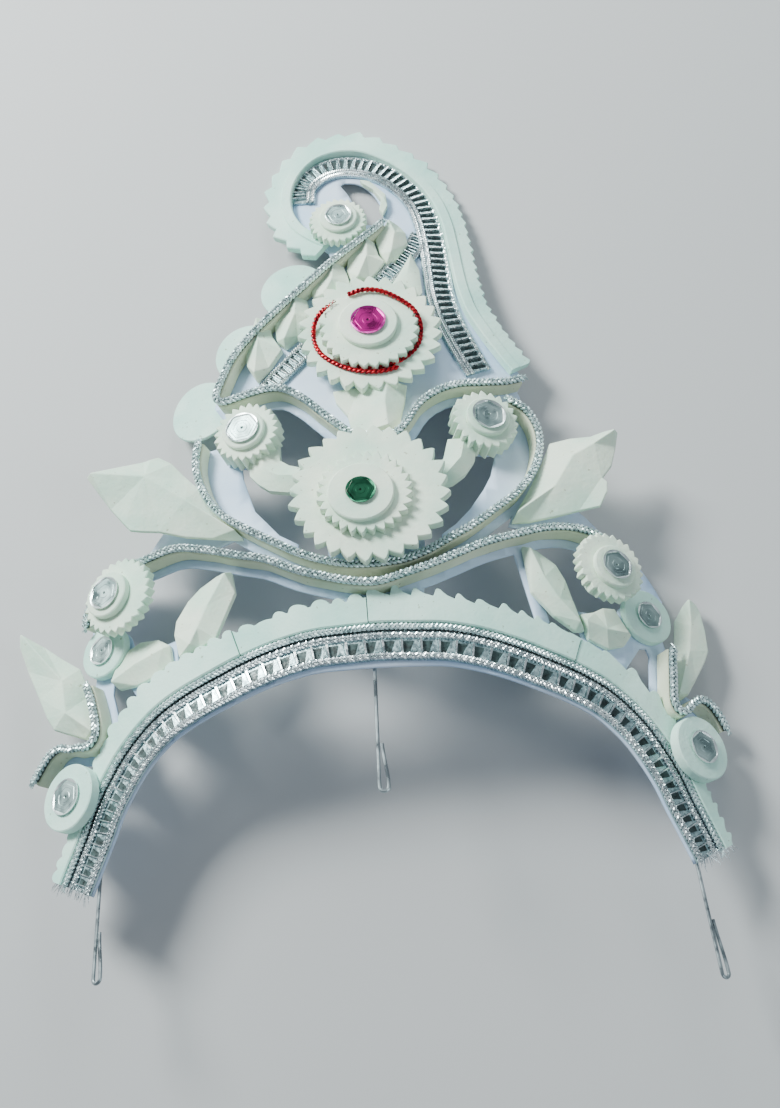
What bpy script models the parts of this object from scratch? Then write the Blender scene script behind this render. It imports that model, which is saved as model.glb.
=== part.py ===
"""Shola wedding crown: a card shape bent round the head, dressed with carved pith and silver trim.

Every flat piece is drawn on the unrolled card, across (u) and up (v), and lifted off it by a height (w).
The card is then bent round an upright cylinder, and the finished crown is laid on its back.
"""
import math
from collections import namedtuple

import bmesh
import bpy
from mathutils import Matrix, Vector
from mathutils.geometry import delaunay_2d_cdt

# The card, in metres. Across and up columns below are shares of HALF_SPAN and CROWN_HEIGHT.
HALF_SPAN = 0.100
CROWN_HEIGHT = 0.200
BEND_RADIUS = 0.160
CARD_THICK = 0.0008
GAP = 0.0003

# Standing pith fins and the twisted cord along their edge
FIN_HEIGHT = 0.0050
FIN_THICK = 0.0022
CORD_RADIUS = 0.00115
CORD_STEP = 0.0084
FIN_CARD_MARGIN = 0.0036

# The band: serrated strip, cord and pleated trim, measured out from the cord line
STRIP_THICK = 0.0028
BAND_STRIP_WIDTH = 0.0074
BAND_STRIP_END_WIDTH = 0.0030
BAND_TOOTH_PITCH = 0.0046
BAND_TOOTH_DEPTH = 0.0017
BAND_CORD_RADIUS = 0.0010
TRIM_WIDTH = 0.0078
TRIM_THICK = 0.0022
PLEAT_PITCH = 0.0070
PLEAT_DEPTH = 0.0011
BAND_CARD_ABOVE = 0.0060
BAND_CARD_BELOW = 0.0118

# The crest and the trims inside the spire
CREST_HALF_WIDTH = 0.0040
CREST_TOOTH_PITCH = 0.0066
CREST_TOOTH_DEPTH = 0.0014
SPIRE_TRIM_WIDTH = 0.0064

# Rosettes, discs and sequins
TOOTH_DEPTH = 0.0013
SEQUIN_THICK = 0.0009
SEQUIN_SIDES = 12
SEQUIN_TOP_SHARE = 0.62
DISC_SIDES = 16
RED_CORD_RADIUS = 0.0009
RED_CORD_TURN = 430.0
RED_CORD_START = -60.0
RED_CORD_POINTS = 26

# Leaves and diamonds
LEAF_EDGE = 0.0010
LEAF_THICK = 0.0026
DIAMOND_THICK = 0.0044
DIAMOND_LENGTH = 0.0191
DIAMOND_COUNT = 5
SCALLOP_RADIUS = 0.0116
SCALLOP_THICK = 0.0013
SCALLOP_SIDES = 26

# Hair pins
PIN_RADIUS = 0.00055
PIN_BEND = 0.0016
PIN_GLUED = 0.009
PIN_BEND_POINTS = 5

LAYER = CARD_THICK + GAP
FIN_CORD_HEIGHT = LAYER + FIN_HEIGHT + GAP + CORD_RADIUS
SEATS = {
    "card": LAYER,
    "strip": LAYER + STRIP_THICK + GAP,
    "cord": FIN_CORD_HEIGHT + CORD_RADIUS + GAP,
}
CURVE_FINE_STEPS = 16
CARD_BEND_STEP = 0.010
CARD_ROUTE_STEP = 0.0120

Spot = namedtuple("Spot", "across up")
Disc = namedtuple("Disc", "across up radius")
Rosette = namedtuple("Rosette", "name across up seat post teeth forward layers sequin sequin_radius")
Layer = namedtuple("Layer", "radius depth thick shift")
Leaf = namedtuple("Leaf", "name across up thick forward heading length rows")
Station = namedtuple("Station", "along left right spine")
Pin = namedtuple("Pin", "name across up heading length back")
Paint = namedtuple("Paint", "colour roughness metallic")

PITH = Paint((0.86, 0.87, 0.80), 0.75, 0.0)
CARD = Paint((0.70, 0.76, 0.86), 0.70, 0.0)
SILVER = Paint((0.75, 0.77, 0.78), 0.28, 0.9)
RED = Paint((0.30, 0.02, 0.03), 0.40, 0.6)
GREEN_FOIL = Paint((0.01, 0.10, 0.05), 0.22, 0.8)
PINK_FOIL = Paint((0.35, 0.00, 0.14), 0.22, 0.8)
STEEL = Paint((0.45, 0.50, 0.50), 0.35, 1.0)

# Half of the band's cord line, from the middle to the right end; the left half mirrors it.
BAND_HALF = [
    Spot(0.000, 0.0515), Spot(0.100, 0.0500), Spot(0.200, 0.0480), Spot(0.300, 0.0390), Spot(0.400, 0.0250),
    Spot(0.500, 0.0075), Spot(0.600, -0.0110), Spot(0.700, -0.0360), Spot(0.795, -0.0760), Spot(0.860, -0.1175),
    Spot(0.905, -0.1550), Spot(0.940, -0.1950), Spot(0.975, -0.2300), Spot(1.010, -0.2650),
]
SCROLL = [
    Spot(-0.950, 0.142), Spot(-0.943, 0.166), Spot(-0.896, 0.199), Spot(-0.810, 0.220), Spot(-0.724, 0.225),
    Spot(-0.619, 0.223), Spot(-0.513, 0.202), Spot(-0.421, 0.180), Spot(-0.329, 0.167), Spot(-0.242, 0.143),
    Spot(-0.155, 0.126), Spot(-0.077, 0.117), Spot(0.000, 0.115), Spot(0.078, 0.129), Spot(0.156, 0.144),
    Spot(0.233, 0.162), Spot(0.321, 0.184), Spot(0.417, 0.202), Spot(0.514, 0.219), Spot(0.601, 0.226),
    Spot(0.678, 0.221), Spot(0.754, 0.215), Spot(0.831, 0.195), Spot(0.888, 0.163), Spot(0.921, 0.135),
]
CURL_LEFT = [
    Spot(-0.929, 0.036), Spot(-0.910, 0.014), Spot(-0.894, -0.011), Spot(-0.882, -0.034), Spot(-0.880, -0.052),
    Spot(-0.893, -0.063), Spot(-0.918, -0.067), Spot(-0.945, -0.063), Spot(-0.981, -0.061), Spot(-1.027, -0.053),
    Spot(-1.074, -0.058), Spot(-1.111, -0.075), Spot(-1.143, -0.092),
]
CURL_RIGHT = [
    Spot(0.905, 0.041), Spot(0.894, 0.019), Spot(0.888, -0.005), Spot(0.880, -0.030), Spot(0.876, -0.048),
    Spot(0.888, -0.062), Spot(0.914, -0.063), Spot(0.945, -0.048), Spot(0.982, -0.036), Spot(1.020, -0.040),
    Spot(1.053, -0.056), Spot(1.076, -0.076),
]
BOWL = [
    Spot(-0.547, 0.419), Spot(-0.554, 0.392), Spot(-0.551, 0.362), Spot(-0.527, 0.322), Spot(-0.489, 0.286),
    Spot(-0.441, 0.258), Spot(-0.378, 0.232), Spot(-0.310, 0.207), Spot(-0.232, 0.180), Spot(-0.155, 0.161),
    Spot(-0.077, 0.150), Spot(0.000, 0.148), Spot(0.078, 0.153), Spot(0.146, 0.167), Spot(0.214, 0.189),
    Spot(0.292, 0.216), Spot(0.369, 0.249), Spot(0.437, 0.281), Spot(0.485, 0.315), Spot(0.516, 0.352),
    Spot(0.528, 0.387), Spot(0.520, 0.417), Spot(0.490, 0.444), Spot(0.442, 0.459),
]
SPIRE = [
    Spot(0.073, 0.831), Spot(0.030, 0.808), Spot(-0.038, 0.777), Spot(-0.116, 0.740), Spot(-0.194, 0.701),
    Spot(-0.271, 0.664), Spot(-0.349, 0.626), Spot(-0.407, 0.593), Spot(-0.441, 0.568), Spot(-0.465, 0.541),
    Spot(-0.484, 0.516), Spot(-0.488, 0.498), Spot(-0.466, 0.488), Spot(-0.426, 0.489), Spot(-0.368, 0.494),
    Spot(-0.310, 0.496), Spot(-0.261, 0.489), Spot(-0.203, 0.465), Spot(-0.150, 0.435), Spot(-0.097, 0.406),
    Spot(-0.055, 0.388), Spot(0.010, 0.381), Spot(0.070, 0.384), Spot(0.108, 0.402), Spot(0.156, 0.442),
    Spot(0.214, 0.467), Spot(0.282, 0.482), Spot(0.359, 0.488), Spot(0.437, 0.495), Spot(0.495, 0.506),
]
CREST = [
    Spot(-0.135, 0.798), Spot(-0.185, 0.818), Spot(-0.235, 0.845), Spot(-0.268, 0.880), Spot(-0.280, 0.920),
    Spot(-0.265, 0.965), Spot(-0.220, 1.005), Spot(-0.155, 1.032), Spot(-0.075, 1.043), Spot(0.010, 1.040),
    Spot(0.090, 1.022), Spot(0.170, 0.992), Spot(0.240, 0.952), Spot(0.290, 0.907), Spot(0.320, 0.855),
    Spot(0.335, 0.800), Spot(0.345, 0.748), Spot(0.358, 0.700), Spot(0.382, 0.655), Spot(0.425, 0.612),
    Spot(0.470, 0.575), Spot(0.510, 0.545),
]
CREST_TRIM = [
    Spot(-0.205, 0.918), Spot(-0.195, 0.952), Spot(-0.150, 0.980), Spot(-0.080, 0.994), Spot(0.000, 0.991),
    Spot(0.070, 0.978), Spot(0.130, 0.955), Spot(0.180, 0.925), Spot(0.215, 0.890), Spot(0.236, 0.843),
    Spot(0.247, 0.790), Spot(0.252, 0.740), Spot(0.258, 0.690), Spot(0.277, 0.642), Spot(0.310, 0.595),
    Spot(0.345, 0.553), Spot(0.366, 0.530),
]
INNER_TRIM = [
    Spot(-0.335, 0.515), Spot(-0.265, 0.552), Spot(-0.130, 0.620), Spot(0.020, 0.692), Spot(0.100, 0.733),
    Spot(0.145, 0.758),
]

# Flat parts of the card between its ribbons
SPIRE_PANEL = [
    Spot(-0.500, 0.500), Spot(-0.460, 0.575), Spot(-0.360, 0.645), Spot(-0.200, 0.722), Spot(-0.100, 0.775),
    Spot(-0.120, 0.800), Spot(-0.200, 0.835), Spot(-0.255, 0.890), Spot(-0.250, 0.960), Spot(-0.190, 1.010),
    Spot(-0.070, 1.035), Spot(0.060, 1.025), Spot(0.170, 0.985), Spot(0.245, 0.940), Spot(0.300, 0.880),
    Spot(0.325, 0.800), Spot(0.340, 0.730), Spot(0.365, 0.670), Spot(0.430, 0.600), Spot(0.530, 0.530),
    Spot(0.500, 0.500), Spot(0.360, 0.485), Spot(0.220, 0.465), Spot(0.110, 0.400), Spot(-0.060, 0.385),
    Spot(-0.200, 0.460), Spot(-0.300, 0.492),
]
EYE = [
    Spot(-0.065, 0.958), Spot(0.000, 0.955), Spot(0.048, 0.930), Spot(0.078, 0.893), Spot(0.078, 0.868),
    Spot(0.035, 0.854), Spot(-0.010, 0.870), Spot(-0.018, 0.900), Spot(-0.040, 0.930),
]
COLUMN = [
    Spot(-0.110, 0.060), Spot(0.130, 0.060), Spot(0.150, 0.200), Spot(0.115, 0.410), Spot(-0.110, 0.410),
    Spot(-0.150, 0.200),
]
LEAF_TABS = [
    [Spot(-0.560, 0.375), Spot(-0.440, 0.240), Spot(-0.600, 0.220), Spot(-0.760, 0.255), Spot(-0.700, 0.290)],
    [Spot(0.500, 0.345), Spot(0.420, 0.235), Spot(0.600, 0.225), Spot(0.770, 0.235), Spot(0.700, 0.268)],
    [Spot(0.420, 0.455), Spot(0.495, 0.450), Spot(0.500, 0.510), Spot(0.420, 0.510)],
    [Spot(0.420, 0.205), Spot(0.465, 0.205), Spot(0.520, 0.070), Spot(0.480, 0.060)],
    [Spot(-0.840, 0.050), Spot(-0.810, 0.075), Spot(-0.640, 0.085), Spot(-0.620, -0.020), Spot(-0.720, -0.035)],
    [Spot(0.620, -0.020), Spot(0.620, 0.095), Spot(0.800, 0.090), Spot(0.840, 0.055), Spot(0.700, -0.035)],
]
# The card that joins each end of the scroll to its small disc and curl, and each curl to the band
END_TABS = [
    [Spot(-0.985, 0.150), Spot(-0.915, 0.150), Spot(-0.870, 0.095), Spot(-0.880, 0.020), Spot(-0.960, 0.020),
     Spot(-0.950, 0.095)],
    [Spot(0.955, 0.145), Spot(0.885, 0.145), Spot(0.830, 0.090), Spot(0.870, 0.030), Spot(0.945, 0.030),
     Spot(0.920, 0.090)],
    [Spot(-0.840, -0.050), Spot(-0.825, -0.110), Spot(-0.910, -0.125), Spot(-0.945, -0.060)],
    [Spot(0.840, -0.045), Spot(0.825, -0.110), Spot(0.910, -0.120), Spot(0.955, -0.045)],
]
# The card widens inwards along both sides of the bowl.
BOWL_SIDES = [
    [Spot(-0.545, 0.420), Spot(-0.552, 0.365), Spot(-0.520, 0.315), Spot(-0.440, 0.257), Spot(-0.310, 0.206),
     Spot(-0.245, 0.186), Spot(-0.240, 0.212), Spot(-0.300, 0.233), Spot(-0.380, 0.285), Spot(-0.420, 0.350),
     Spot(-0.430, 0.420)],
    [Spot(0.520, 0.420), Spot(0.516, 0.355), Spot(0.484, 0.315), Spot(0.436, 0.280), Spot(0.366, 0.247),
     Spot(0.290, 0.215), Spot(0.205, 0.188), Spot(0.205, 0.215), Spot(0.250, 0.233), Spot(0.300, 0.262),
     Spot(0.350, 0.300), Spot(0.380, 0.330), Spot(0.400, 0.370), Spot(0.410, 0.420)],
]
# Rounds of card that carry the rosettes and discs beyond the ribbons
CARD_ROUNDS = [
    Disc(-0.030, 0.270, 0.0180), Disc(-0.390, 0.413, 0.0090), Disc(0.357, 0.410, 0.0090),
    Disc(-0.075, 0.850, 0.0080), Disc(-0.840, 0.180, 0.0080), Disc(0.730, 0.165, 0.0080),
    Disc(-0.885, 0.094, 0.0078), Disc(0.834, 0.088, 0.0078), Disc(-0.975, -0.139, 0.0085),
    Disc(0.955, -0.118, 0.0085),
]

SCALLOPS = [Spot(-0.248, 0.728), Spot(-0.417, 0.612), Spot(-0.580, 0.512)]

ROSETTES = [
    Rosette("rosette_centre", -0.030, 0.270, "cord", 0.0140, 24, 0.0, [
        Layer(0.0227, TOOTH_DEPTH, 0.0030, 0.0), Layer(0.0150, TOOTH_DEPTH, 0.0030, -0.0035),
        Layer(0.0100, 0.0, 0.0020, -0.0045)], "sequin_green", 0.0046),
    Rosette("rosette_pink", 0.010, 0.5925, "strip", 0.0090, 24, 0.0, [
        Layer(0.0220, TOOTH_DEPTH, 0.0028, 0.0), Layer(0.0150, TOOTH_DEPTH, 0.0030, 0.0),
        Layer(0.0095, 0.0, 0.0020, 0.0)], "sequin_pink", 0.0050),
    Rosette("rosette_silver_left", -0.386, 0.4125, "card", 0.0, 17, 0.0, [
        Layer(0.0100, TOOTH_DEPTH, 0.0075, 0.0), Layer(0.0066, 0.0, 0.0016, 0.0)],
        "sequin_silver_left", 0.0049),
    Rosette("rosette_silver_right", 0.357, 0.410, "card", 0.0, 17, 0.0, [
        Layer(0.0100, TOOTH_DEPTH, 0.0075, 0.0), Layer(0.0066, 0.0, 0.0016, 0.0)],
        "sequin_silver_right", 0.0049),
    Rosette("rosette_top", -0.075, 0.8425, "strip", 0.0040, 16, 0.0, [
        Layer(0.0101, TOOTH_DEPTH, 0.0035, 0.0), Layer(0.0058, 0.0, 0.0015, 0.0)], "sequin_top", 0.0040),
    Rosette("rosette_outer_left", -0.810, 0.160, "cord", 0.0040, 16, 10.0, [
        Layer(0.0116, TOOTH_DEPTH, 0.0035, 0.0), Layer(0.0070, 0.0, 0.0015, 0.0)],
        "sequin_outer_left", 0.0050),
    Rosette("rosette_outer_right", 0.690, 0.146, "cord", 0.0040, 16, 0.0, [
        Layer(0.0116, TOOTH_DEPTH, 0.0035, 0.0), Layer(0.0070, 0.0, 0.0015, 0.0)],
        "sequin_outer_right", 0.0050),
    Rosette("disc_small_left", -0.885, 0.094, "card", 0.0, 0, 0.0, [
        Layer(0.0092, 0.0, 0.0040, 0.0)], "sequin_small_left", 0.0048),
    Rosette("disc_small_right", 0.834, 0.088, "card", 0.0, 0, 0.0, [
        Layer(0.0088, 0.0, 0.0040, 0.0)], "sequin_small_right", 0.0048),
    Rosette("disc_bottom_left", -0.975, -0.139, "strip", 0.0, 0, 0.0, [
        Layer(0.0108, 0.0, 0.0038, 0.0)], "sequin_bottom_left", 0.0052),
    Rosette("disc_bottom_right", 0.955, -0.118, "strip", 0.0, 0, 0.0, [
        Layer(0.0100, 0.0, 0.0038, 0.0)], "sequin_bottom_right", 0.0050),
]

LEAVES = [
    Leaf("leaf_outer_left", -0.414, 0.232, LEAF_THICK, 18.0, 153.7, 0.0560, [
        Station(0.04, 0.030, 0.015, 0.30), Station(0.18, 0.065, 0.050, 0.40), Station(0.30, 0.116, 0.105, 0.60),
        Station(0.45, 0.150, 0.205, 0.80), Station(0.62, 0.205, 0.275, 1.00), Station(0.70, 0.170, 0.290, 0.90),
        Station(0.76, 0.130, 0.225, 0.80), Station(0.99, 0.008, 0.008, 0.20)]),
    Leaf("leaf_outer_right", 0.428, 0.237, LEAF_THICK, 18.0, 39.7, 0.0480, [
        Station(0.03, 0.010, 0.020, 0.30), Station(0.12, 0.045, 0.090, 0.50), Station(0.30, 0.110, 0.205, 0.90),
        Station(0.48, 0.190, 0.310, 1.00), Station(0.61, 0.255, 0.265, 1.00), Station(0.68, 0.225, 0.185, 0.90),
        Station(0.80, 0.145, 0.140, 0.70), Station(0.92, 0.080, 0.060, 0.40), Station(0.99, 0.008, 0.008, 0.20)]),
    Leaf("leaf_point_left", -0.925, -0.045, LEAF_THICK, 35.0, 126.2, 0.0445, [
        Station(0.04, 0.050, 0.020, 0.30), Station(0.15, 0.140, 0.080, 0.60), Station(0.30, 0.190, 0.140, 1.00),
        Station(0.50, 0.155, 0.180, 1.00), Station(0.66, 0.120, 0.130, 0.80), Station(0.82, 0.090, 0.080, 0.60),
        Station(0.99, 0.010, 0.010, 0.20)]),
    Leaf("leaf_point_right", 0.923, -0.037, LEAF_THICK, 35.0, 75.6, 0.0365, [
        Station(0.02, 0.010, 0.030, 0.30), Station(0.25, 0.040, 0.145, 0.70), Station(0.43, 0.065, 0.200, 1.00),
        Station(0.53, 0.075, 0.215, 1.00), Station(0.72, 0.095, 0.175, 0.80), Station(0.88, 0.070, 0.115, 0.50),
        Station(0.99, 0.010, 0.030, 0.20)]),
    Leaf("leaf_inner_left", -0.590, 0.070, LEAF_THICK, 0.0, 61.0, 0.0240, [
        Station(0.00, 0.130, 0.060, 0.40), Station(0.14, 0.290, 0.170, 0.70), Station(0.36, 0.340, 0.270, 1.00),
        Station(0.60, 0.310, 0.260, 1.00), Station(0.85, 0.190, 0.200, 0.70), Station(1.00, 0.040, 0.040, 0.30)]),
    Leaf("leaf_half_moon", -0.830, 0.048, LEAF_THICK, 0.0, 8.0, 0.0205, [
        Station(0.02, 0.040, 0.040, 0.40), Station(0.18, 0.230, 0.090, 0.80), Station(0.40, 0.370, 0.130, 1.00),
        Station(0.65, 0.370, 0.110, 1.00), Station(0.85, 0.250, 0.060, 0.80), Station(0.98, 0.080, 0.030, 0.40)]),
    Leaf("leaf_inner_right", 0.565, 0.072, LEAF_THICK, 0.0, 115.6, 0.0240, [
        Station(0.00, 0.060, 0.060, 0.40), Station(0.22, 0.180, 0.200, 0.80), Station(0.50, 0.250, 0.270, 1.00),
        Station(0.72, 0.170, 0.280, 1.00), Station(0.90, 0.080, 0.140, 0.60), Station(1.00, 0.030, 0.030, 0.30)]),
    Leaf("leaf_lower_right", 0.615, 0.082, LEAF_THICK, 0.0, -12.0, 0.0115, [
        Station(0.00, 0.060, 0.060, 0.40), Station(0.30, 0.260, 0.250, 0.90), Station(0.60, 0.430, 0.330, 1.00),
        Station(0.85, 0.380, 0.220, 0.90), Station(1.00, 0.180, 0.100, 0.60)]),
    Leaf("centre_stem", 0.010, 0.400, LEAF_THICK, 0.0, 90.0, 0.0165, [
        Station(0.00, 0.420, 0.420, 1.00), Station(0.50, 0.560, 0.540, 1.00), Station(1.00, 0.680, 0.640, 1.00)]),
]
SIDE_STEMS = {
    "rosette_silver_left": Leaf("side_stem_left", -0.370, 0.385, LEAF_THICK, 0.0, -52.0, 0.0220, [
        Station(0.10, 0.180, 0.160, 0.80), Station(0.50, 0.260, 0.210, 1.00), Station(0.80, 0.200, 0.200, 1.00),
        Station(1.00, 0.060, 0.100, 0.60)]),
    "rosette_silver_right": Leaf("side_stem_right", 0.320, 0.385, LEAF_THICK, 0.0, -112.0, 0.0210, [
        Station(0.10, 0.160, 0.180, 0.80), Station(0.50, 0.220, 0.260, 1.00), Station(0.80, 0.200, 0.200, 1.00),
        Station(1.00, 0.100, 0.060, 0.60)]),
}
DIAMOND_ROWS = [
    Station(0.00, 0.250, -0.235, 0.20), Station(0.26, 0.267, 0.005, 0.80), Station(0.45, 0.186, 0.205, 1.00),
    Station(0.76, 0.060, 0.250, 0.70), Station(0.87, 0.010, 0.205, 0.40), Station(1.00, -0.120, 0.150, 0.10),
]
DIAMOND_FIRST = Spot(0.072, 0.8340)
DIAMOND_LAST = Spot(-0.347, 0.6365)
DIAMOND_HEADING = -90.0

PINS = [
    Pin("pin_centre", 0.000, -0.008, -90.0, 0.041, 0.018),
    Pin("pin_left", -0.905, -0.275, -91.0, 0.026, 0.014),
    Pin("pin_right", 0.915, -0.275, -82.0, 0.033, 0.016),
]


def flat(spot):
    """The place of a table row on the unrolled card."""
    return Vector((spot.across * HALF_SPAN, spot.up * CROWN_HEIGHT))


def bend(across, up, height):
    """A point of the unrolled card, and a height above its back, taken round the bend."""
    turn = across / BEND_RADIUS
    reach = BEND_RADIUS + height
    return Vector((reach * math.sin(turn), up, reach * math.cos(turn) - BEND_RADIUS))


def seat_frame(across, up, height, forward=0.0, heading=0.0):
    """Axes of a rigid piece on the bent card: X along its heading and Z off the card.

    forward turns the piece's outer side away from the card, in degrees.
    """
    turn = Matrix.Rotation(across / BEND_RADIUS, 4, "Y")
    side = math.copysign(1.0, across)
    lift = Matrix.Rotation(-side * math.radians(forward), 4, "Y")
    aim = Matrix.Rotation(math.radians(heading), 4, "Z")
    return Matrix.Translation(bend(across, up, height)) @ turn @ lift @ aim


def smooth_route(rows, step):
    """Evenly spaced flat points along a smooth curve through the rows."""
    knots = [flat(row) for row in rows]
    ends = [2 * knots[0] - knots[1]] + knots + [2 * knots[-1] - knots[-2]]
    fine = []
    for before, start, end, after in zip(ends, ends[1:], ends[2:], ends[3:]):
        for index in range(CURVE_FINE_STEPS):
            share = index / CURVE_FINE_STEPS
            fine.append(catmull_point(before, start, end, after, share))
    fine.append(knots[-1])
    lengths = [0.0]
    for start, end in zip(fine, fine[1:]):
        lengths.append(lengths[-1] + (end - start).length)
    count = max(2, round(lengths[-1] / step))
    return [point_at(fine, lengths, lengths[-1] * index / count) for index in range(count + 1)]


def catmull_point(before, start, end, after, share):
    """A point of the Catmull-Rom span from start to end."""
    bow = 2 * before - 5 * start + 4 * end - after
    twist = -before + 3 * start - 3 * end + after
    return (2 * start + (end - before) * share + bow * share ** 2 + twist * share ** 3) / 2


def point_at(points, lengths, distance):
    """The point of a polyline at a distance along it."""
    for index in range(1, len(points)):
        if lengths[index] >= distance:
            span = lengths[index] - lengths[index - 1]
            share = (distance - lengths[index - 1]) / span if span else 0.0
            return points[index - 1].lerp(points[index], share)
    return points[-1]


def left_normals(points):
    """The direction to the left of the route at each of its points."""
    normals = []
    for index in range(len(points)):
        ahead = points[min(index + 1, len(points) - 1)]
        behind = points[max(index - 1, 0)]
        along = (ahead - behind).normalized()
        normals.append(Vector((-along.y, along.x)))
    return normals


def paint(obj, finish):
    """Give the object a material of its own."""
    material = bpy.data.materials.new(obj.name)
    material.use_nodes = True
    shader = material.node_tree.nodes["Principled BSDF"]
    shader.inputs["Base Color"].default_value = (*finish.colour, 1.0)
    shader.inputs["Roughness"].default_value = finish.roughness
    shader.inputs["Metallic"].default_value = finish.metallic
    obj.data.materials.append(material)


def add_mesh(name, shape, finish):
    """Put a finished bmesh into the crown as a named, painted object."""
    bmesh.ops.recalc_face_normals(shape, faces=shape.faces)
    mesh = bpy.data.meshes.new(name)
    shape.to_mesh(mesh)
    shape.free()
    obj = bpy.data.objects.new(name, mesh)
    crown.objects.link(obj)
    paint(obj, finish)
    return obj


def loft(sections):
    """A closed body through rings of points, capped at both ends."""
    shape = bmesh.new()
    rings = [[shape.verts.new(point) for point in section] for section in sections]
    for ring, following in zip(rings, rings[1:]):
        for index in range(len(ring)):
            neighbour = (index + 1) % len(ring)
            shape.faces.new((ring[index], ring[neighbour], following[neighbour], following[index]))
    shape.faces.new(list(reversed(rings[0])))
    shape.faces.new(rings[-1])
    return shape


def strip(name, points, rights, lefts, low, highs, finish):
    """A strip that follows a route on the card, with its own edges and top at every point."""
    sections = []
    for point, normal, right, left, high in zip(points, left_normals(points), rights, lefts, highs):
        inner = point + normal * right
        outer = point + normal * left
        sections.append([bend(*inner, low), bend(*outer, low), bend(*outer, high), bend(*inner, high)])
    return add_mesh(name, loft(sections), finish)


def fin(name, rows):
    """A strip of pith standing on its edge along a route."""
    points = smooth_route(rows, CORD_STEP)
    count = len(points)
    half = FIN_THICK / 2
    return strip(name, points, [-half] * count, [half] * count, LAYER, [LAYER + FIN_HEIGHT] * count, PITH)


def cord(name, points, radius, finish):
    """A cord as a tube through bent points."""
    curve = bpy.data.curves.new(name, "CURVE")
    curve.dimensions = "3D"
    curve.bevel_depth = radius
    curve.bevel_resolution = 1
    curve.use_fill_caps = True
    curve.render_resolution_u = 0
    spline = curve.splines.new("POLY")
    spline.points.add(len(points) - 1)
    for target, point in zip(spline.points, points):
        target.co = (*point, 1.0)
    obj = bpy.data.objects.new(name, curve)
    crown.objects.link(obj)
    paint(obj, finish)
    return obj


def fin_cord(name, rows):
    """The twisted silver cord along the top of a fin."""
    points = smooth_route(rows, CORD_STEP)
    return cord(name, [bend(*point, FIN_CORD_HEIGHT) for point in points], CORD_RADIUS, SILVER)


def toothed(count, base, depth):
    """Edge distances that alternate between the root and the tip of a tooth."""
    return [base + (depth if index % 2 else 0.0) for index in range(count)]


def pleated_trim(name, rows, centre, width):
    """A pleated silver ribbon along a route, with its folds standing across it."""
    points = smooth_route(rows, PLEAT_PITCH / 2)
    count = len(points)
    tops = toothed(count, LAYER + TRIM_THICK - PLEAT_DEPTH, PLEAT_DEPTH)
    return strip(name, points, [centre - width / 2] * count, [centre + width / 2] * count, LAYER, tops, SILVER)


def disc_ring(frame, radius, depth, sides, height, shift):
    """A ring of points in a piece's own axes, with every other point drawn in by the depth."""
    ring = []
    for index in range(sides):
        angle = math.tau * index / sides
        reach = radius - (depth if index % 2 else 0.0)
        ring.append(frame @ Vector((reach * math.cos(angle), reach * math.sin(angle) + shift, height)))
    return ring


def rosette(row):
    """A stack of pith discs on a short post, seated on the card."""
    across, up = flat(row)
    lift = row.post * math.sin(math.radians(row.forward))
    frame = seat_frame(across, up, LAYER + lift, row.forward)
    sides = 2 * row.teeth if row.teeth else DISC_SIDES
    height = SEATS[row.seat] - LAYER
    rings = []
    if row.post:
        rings.append(disc_ring(frame, row.post, 0.0, sides, 0.0, 0.0))
        rings.append(disc_ring(frame, row.post, 0.0, sides, height, 0.0))
    for layer in row.layers:
        for level in (height, height + layer.thick):
            rings.append(disc_ring(frame, layer.radius, layer.depth, sides, level, layer.shift))
        height += layer.thick
    body = add_mesh(row.name, loft(rings), PITH)
    sequin(row, frame, height + GAP, row.layers[-1].shift)
    return body


def sequin(row, frame, height, shift):
    """A cup sequin, faceted to a flat centre, on top of its rosette."""
    colours = {"sequin_green": GREEN_FOIL, "sequin_pink": PINK_FOIL}
    rings = [
        disc_ring(frame, row.sequin_radius, 0.0, SEQUIN_SIDES, height, shift),
        disc_ring(frame, row.sequin_radius * SEQUIN_TOP_SHARE, 0.0, SEQUIN_SIDES, height + SEQUIN_THICK, shift),
    ]
    add_mesh(row.sequin, loft(rings), colours.get(row.sequin, SILVER))


def leaf_shape(row):
    """A carved leaf: flat below, with a raised spine from its root to its tip."""
    across, up = flat(row)
    frame = seat_frame(across, up, LAYER, row.forward, row.heading)
    sections = []
    for station in row.rows:
        along = station.along * row.length
        left = station.left * row.length
        right = -station.right * row.length
        spine = LEAF_EDGE + (row.thick - LEAF_EDGE) * station.spine
        corners = [(left, 0.0), (right, 0.0), (right, LEAF_EDGE), ((left + right) / 2, spine), (left, LEAF_EDGE)]
        sections.append([frame @ Vector((along, side, rise)) for side, rise in corners])
    return loft(sections)


def leaf(row):
    return add_mesh(row.name, leaf_shape(row), PITH)


def diamonds():
    """The row of faceted diamonds inside the spire's left edge."""
    for index in range(DIAMOND_COUNT):
        share = index / (DIAMOND_COUNT - 1)
        across = DIAMOND_FIRST.across + (DIAMOND_LAST.across - DIAMOND_FIRST.across) * share
        up = DIAMOND_FIRST.up + (DIAMOND_LAST.up - DIAMOND_FIRST.up) * share
        name = f"diamond_{index + 1}"
        leaf(Leaf(name, across, up, DIAMOND_THICK, 0.0, DIAMOND_HEADING, DIAMOND_LENGTH, DIAMOND_ROWS))


def scallops():
    """Thin round discs glued behind the spire's left edge."""
    for index, spot in enumerate(SCALLOPS):
        centre = flat(spot)
        rings = []
        for height in (-GAP - SCALLOP_THICK, -GAP):
            ring = []
            for side in range(SCALLOP_SIDES):
                angle = math.tau * side / SCALLOP_SIDES
                offset = SCALLOP_RADIUS * Vector((math.cos(angle), math.sin(angle)))
                ring.append(bend(*(centre + offset), height))
            rings.append(ring)
        add_mesh(f"scallop_{index + 1}", loft(rings), PITH)


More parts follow.
